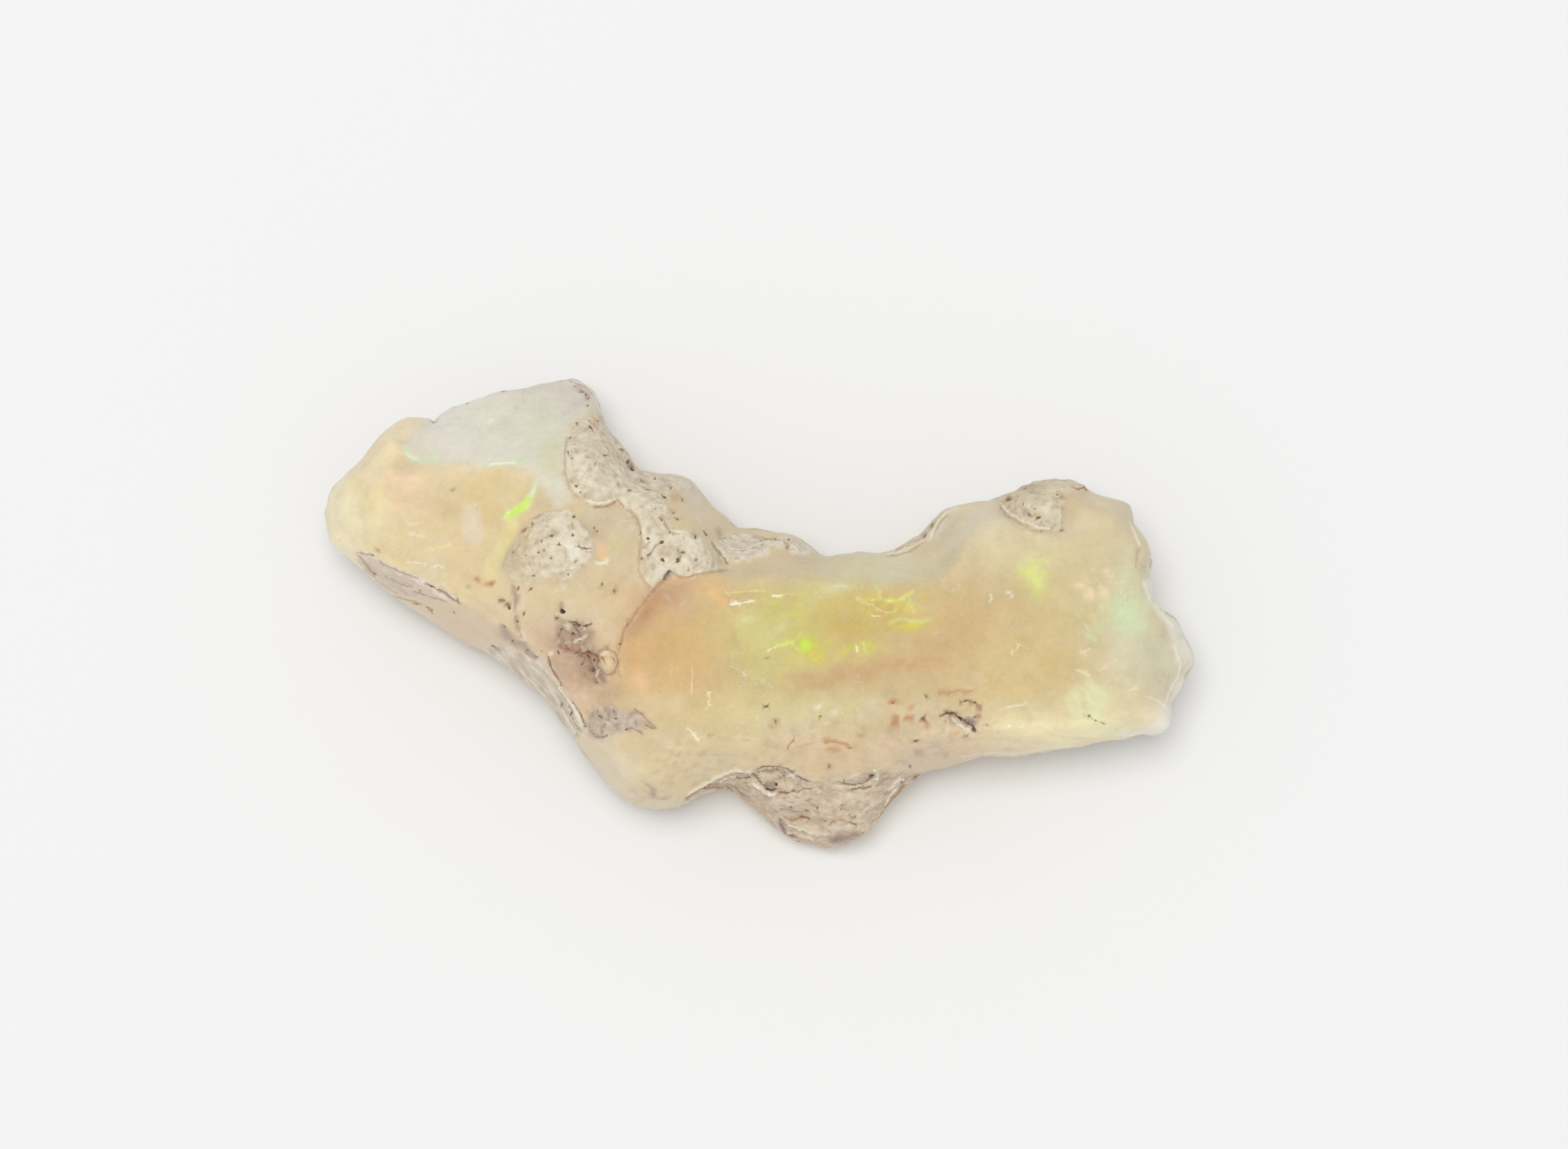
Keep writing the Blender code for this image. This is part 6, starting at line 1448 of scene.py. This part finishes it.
# %% The two materials
def use_group(tree, group, **inputs):
    """A group node with its inputs set; gives its outputs."""
    node = tree.nodes.new("ShaderNodeGroup")
    node.node_tree = group
    for name, value in inputs.items():
        node.inputs[name].default_value = value
    return node.outputs


def over(tree, share, below, colour):
    """A named colour mixed over another by a share."""
    node = tree.nodes.new("ShaderNodeMix")
    node.data_type = "RGBA"
    tree.links.new(share, node.inputs["Factor"])
    tree.links.new(below, node.inputs["A"])
    node.inputs["B"].default_value = (*linear(np.array(COLOURS[colour]) / 255.0), 1.0)
    return node.outputs["Result"]


def attribute(tree, name, output):
    """An output of a node that reads one of the mesh's attributes."""
    node = tree.nodes.new("ShaderNodeAttribute")
    node.attribute_name = name
    return node.outputs[output]


def stone_material(name, recipe):
    """A material that reads the laid colour and adds the four kinds of detail by a recipe."""
    material = bpy.data.materials.new(name)
    material.use_nodes = True
    tree = material.node_tree
    shader = tree.nodes["Principled BSDF"]
    shader.inputs["IOR"].default_value = STONE_IOR
    shader.inputs["Subsurface Weight"].default_value = recipe["milkiness"]
    shader.inputs["Subsurface Radius"].default_value = recipe["reach"]
    shader.inputs["Subsurface Scale"].default_value = MM

    def times(a, b):
        """The product of two numbers or sockets."""
        return step(tree, "MULTIPLY", a, b)

    coarse_size, coarse_contrast, coarse_bump = recipe["coarse"]
    fine_size, fine_contrast, fine_bump = recipe["fine"]
    crumb_size, crumb_contrast, gap_strength, crumb_bump = recipe["crumbs"]
    pore_spacing, pore_radius, pore_amount, pore_strength = recipe["pores"]
    line_size, line_width, line_amount, line_strength = recipe["lines"]
    coarse_grain = use_group(tree, GRAIN, Size=coarse_size, Contrast=coarse_contrast)
    fine_grain = use_group(tree, GRAIN, Size=fine_size, Contrast=fine_contrast)
    pinholes = use_group(tree, PORES, Spacing=pore_spacing, Radius=pore_radius, Amount=pore_amount)
    healed = use_group(tree, HAIRLINES, Size=line_size, Width=line_width, Amount=line_amount)
    bits = use_group(tree, CRUMBS, Size=crumb_size)
    loose = attribute(tree, "crumbling", "Fac")

    tone = times(step(tree, "SUBTRACT", bits["Tone"], 0.5), times(loose, crumb_contrast))
    shade = times(times(coarse_grain["Shade"], fine_grain["Shade"]), step(tree, "ADD", tone, 1.0))
    shaded = tree.nodes.new("ShaderNodeVectorMath")
    shaded.operation = "SCALE"
    tree.links.new(attribute(tree, "laid colour", "Color"), shaded.inputs[0])
    tree.links.new(shade, shaded.inputs["Scale"])
    line_share = times(healed["Mask"], line_strength)
    lined = over(tree, line_share, shaded.outputs["Vector"], recipe["line colour"])
    parted = over(tree, times(bits["Gap"], times(loose, gap_strength)), lined, "shade brown")
    holed = over(tree, times(pinholes["Mask"], pore_strength), parted, recipe["pore colour"])
    tree.links.new(holed, shader.inputs["Base Color"])

    glossy, matt = recipe["roughness"]
    wear = ramp(tree, coarse_grain["Height"], 0.35, 0.65)
    tree.links.new(step(tree, "MULTIPLY_ADD", wear, matt - glossy, glossy), shader.inputs["Roughness"])

    raised = times(fine_grain["Height"], fine_bump)
    raised = step(tree, "MULTIPLY_ADD", coarse_grain["Height"], coarse_bump, raised)
    raised = step(tree, "ADD", raised, times(bits["Height"], times(loose, crumb_bump)))
    relief = tree.nodes.new("ShaderNodeBump")
    relief.inputs["Distance"].default_value = MM
    pitted = step(tree, "MULTIPLY_ADD", pinholes["Mask"], -pore_radius, raised)
    tree.links.new(pitted, relief.inputs["Height"])
    tree.links.new(relief.outputs["Normal"], shader.inputs["Normal"])
    return material


STONE_IOR = 1.45
OPAL_RECIPE = {
    "milkiness": 0.35, "reach": (1.0, 0.8, 0.5),
    "roughness": (0.26, 0.42),  # lowest, highest
    "coarse": (0.7, 0.30, 0.010), "fine": (0.16, 0.16, 0.003),  # size, contrast, bump height
    "crumbs": (0.25, 0.2, 0.5, 0.01),  # size, contrast, gap strength, bump height
    "pores": (0.9, 0.02, 0.08, 0.2), "pore colour": "shade brown",  # spacing, radius, amount, strength
    # In the opal the hairlines are laid in the glint colour, as faint painted highlights.
    "lines": (2.2, 0.004, 0.5, 0.2), "line colour": "glint",  # size, width, amount, strength
}
ROCK_RECIPE = {
    "milkiness": 0.10, "reach": (0.4, 0.35, 0.3),
    "roughness": (0.65, 0.85),
    "coarse": (0.4, 0.28, 0.025), "fine": (0.09, 0.17, 0.006),
    "crumbs": (0.24, 0.14, 0.55, 0.02),
    "pores": (0.3, 0.04, 0.12, 0.5), "pore colour": "pit brown",
    "lines": (0.9, 0.010, 0.4, 0.25), "line colour": "ash",
}
milky_opal = stone_material("milky opal", OPAL_RECIPE)
host_rock = stone_material("host rock", ROCK_RECIPE)
print("materials:", milky_opal.name, "and", host_rock.name)

# %% [markdown]
# ## Putting the stone together
# The mesh goes back to metres, its faces are split between the two materials by their rock share, and
# it takes the place of the solid, which stays behind it for collisions.

# %% The finished stone
def face_means(mesh, values):
    """The mean of a value over each face's corners."""
    starts = np.empty(len(mesh.polygons), np.int32)
    mesh.polygons.foreach_get("loop_start", starts)
    corners = np.empty(len(mesh.loops), np.int32)
    mesh.loops.foreach_get("vertex_index", corners)
    totals = np.add.reduceat(values[corners], starts)
    return totals / np.diff(np.append(starts, len(corners)))


ROCK_FROM = 0.5

mesh.vertices.foreach_set("co", (points * MM).ravel())
mesh.materials.clear()
for material in (milky_opal, host_rock):
    mesh.materials.append(material)
is_rock = face_means(mesh, rock) > ROCK_FROM
mesh.polygons.foreach_set("material_index", is_rock.astype(np.int32))
mesh.shade_smooth()
mesh.update()
stone = bpy.data.objects.new("opal_stone_surface", mesh)
bpy.context.scene.collection.objects.link(stone)
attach(stone, "root")
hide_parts("opal_stone")
print("stone:", len(mesh.polygons), "faces")

# %% [markdown]
# ## Table, light and camera
# The stone lies on a plain white table in very soft light. A bright even sky does most of it, and one
# round lamp almost overhead gives the stone a soft shadow. The lamp makes no highlight of its own,
# because the real stone's gloss shows only wide, pale reflections. The camera stands where the marks
# were read from.

# %% Table, sky, lamp and camera
TABLE_SIZE = 3.0
TABLE_WHITE, TABLE_ROUGHNESS = 0.80, 0.9
SKY_STRENGTH = 0.64
LAMP_PLACE, LAMP_SIZE, LAMP_POWER = (-0.03, 0.02, 0.45), 0.22, 1.07
LENS, SENSOR, NEAREST = 100.0, 36.0, 0.01

bm = bmesh.new()
bmesh.ops.create_grid(bm, x_segments=1, y_segments=1, size=TABLE_SIZE / 2)
table_mesh = bpy.data.meshes.new("table")
bm.to_mesh(table_mesh)
bm.free()
table = bpy.data.objects.new("table", table_mesh)
bpy.context.scene.collection.objects.link(table)
table_white = bpy.data.materials.new("table white")
table_white.use_nodes = True
paint = table_white.node_tree.nodes["Principled BSDF"].inputs
paint["Base Color"].default_value = (TABLE_WHITE, TABLE_WHITE, TABLE_WHITE, 1)
paint["Roughness"].default_value = TABLE_ROUGHNESS
table_mesh.materials.append(table_white)

sky = bpy.data.worlds.new("even sky")
sky.use_nodes = True
glow = sky.node_tree.nodes["Background"].inputs
glow["Color"].default_value = (1.0, 1.0, 1.0, 1)
glow["Strength"].default_value = SKY_STRENGTH
bpy.context.scene.world = sky
bpy.context.scene.view_settings.view_transform = "Standard"


def aimed(name, data, place, target):
    """An object for a lamp or camera at a place, turned to look at a target, both in metres."""
    thing = bpy.data.objects.new(name, data)
    thing.location = place
    thing.rotation_euler = (Vector(target) - Vector(place)).to_track_quat("-Z", "Y").to_euler()
    bpy.context.scene.collection.objects.link(thing)
    return thing


lamp = bpy.data.lights.new("soft lamp", "AREA")
lamp.shape = "DISK"
lamp.size = LAMP_SIZE
lamp.energy = LAMP_POWER
aimed("soft lamp", lamp, LAMP_PLACE, (0.0, 0.0, 0.0)).visible_glossy = False

camera = bpy.data.cameras.new("camera")
camera.lens = LENS
camera.sensor_width = SENSOR
camera.clip_start = NEAREST
target = LOOK_AT * MM
eye = (LOOK_AT + TO_EYE * EYE_DISTANCE) * MM
bpy.context.scene.camera = aimed("camera", camera, eye, target)
print("camera at", Vector(eye))
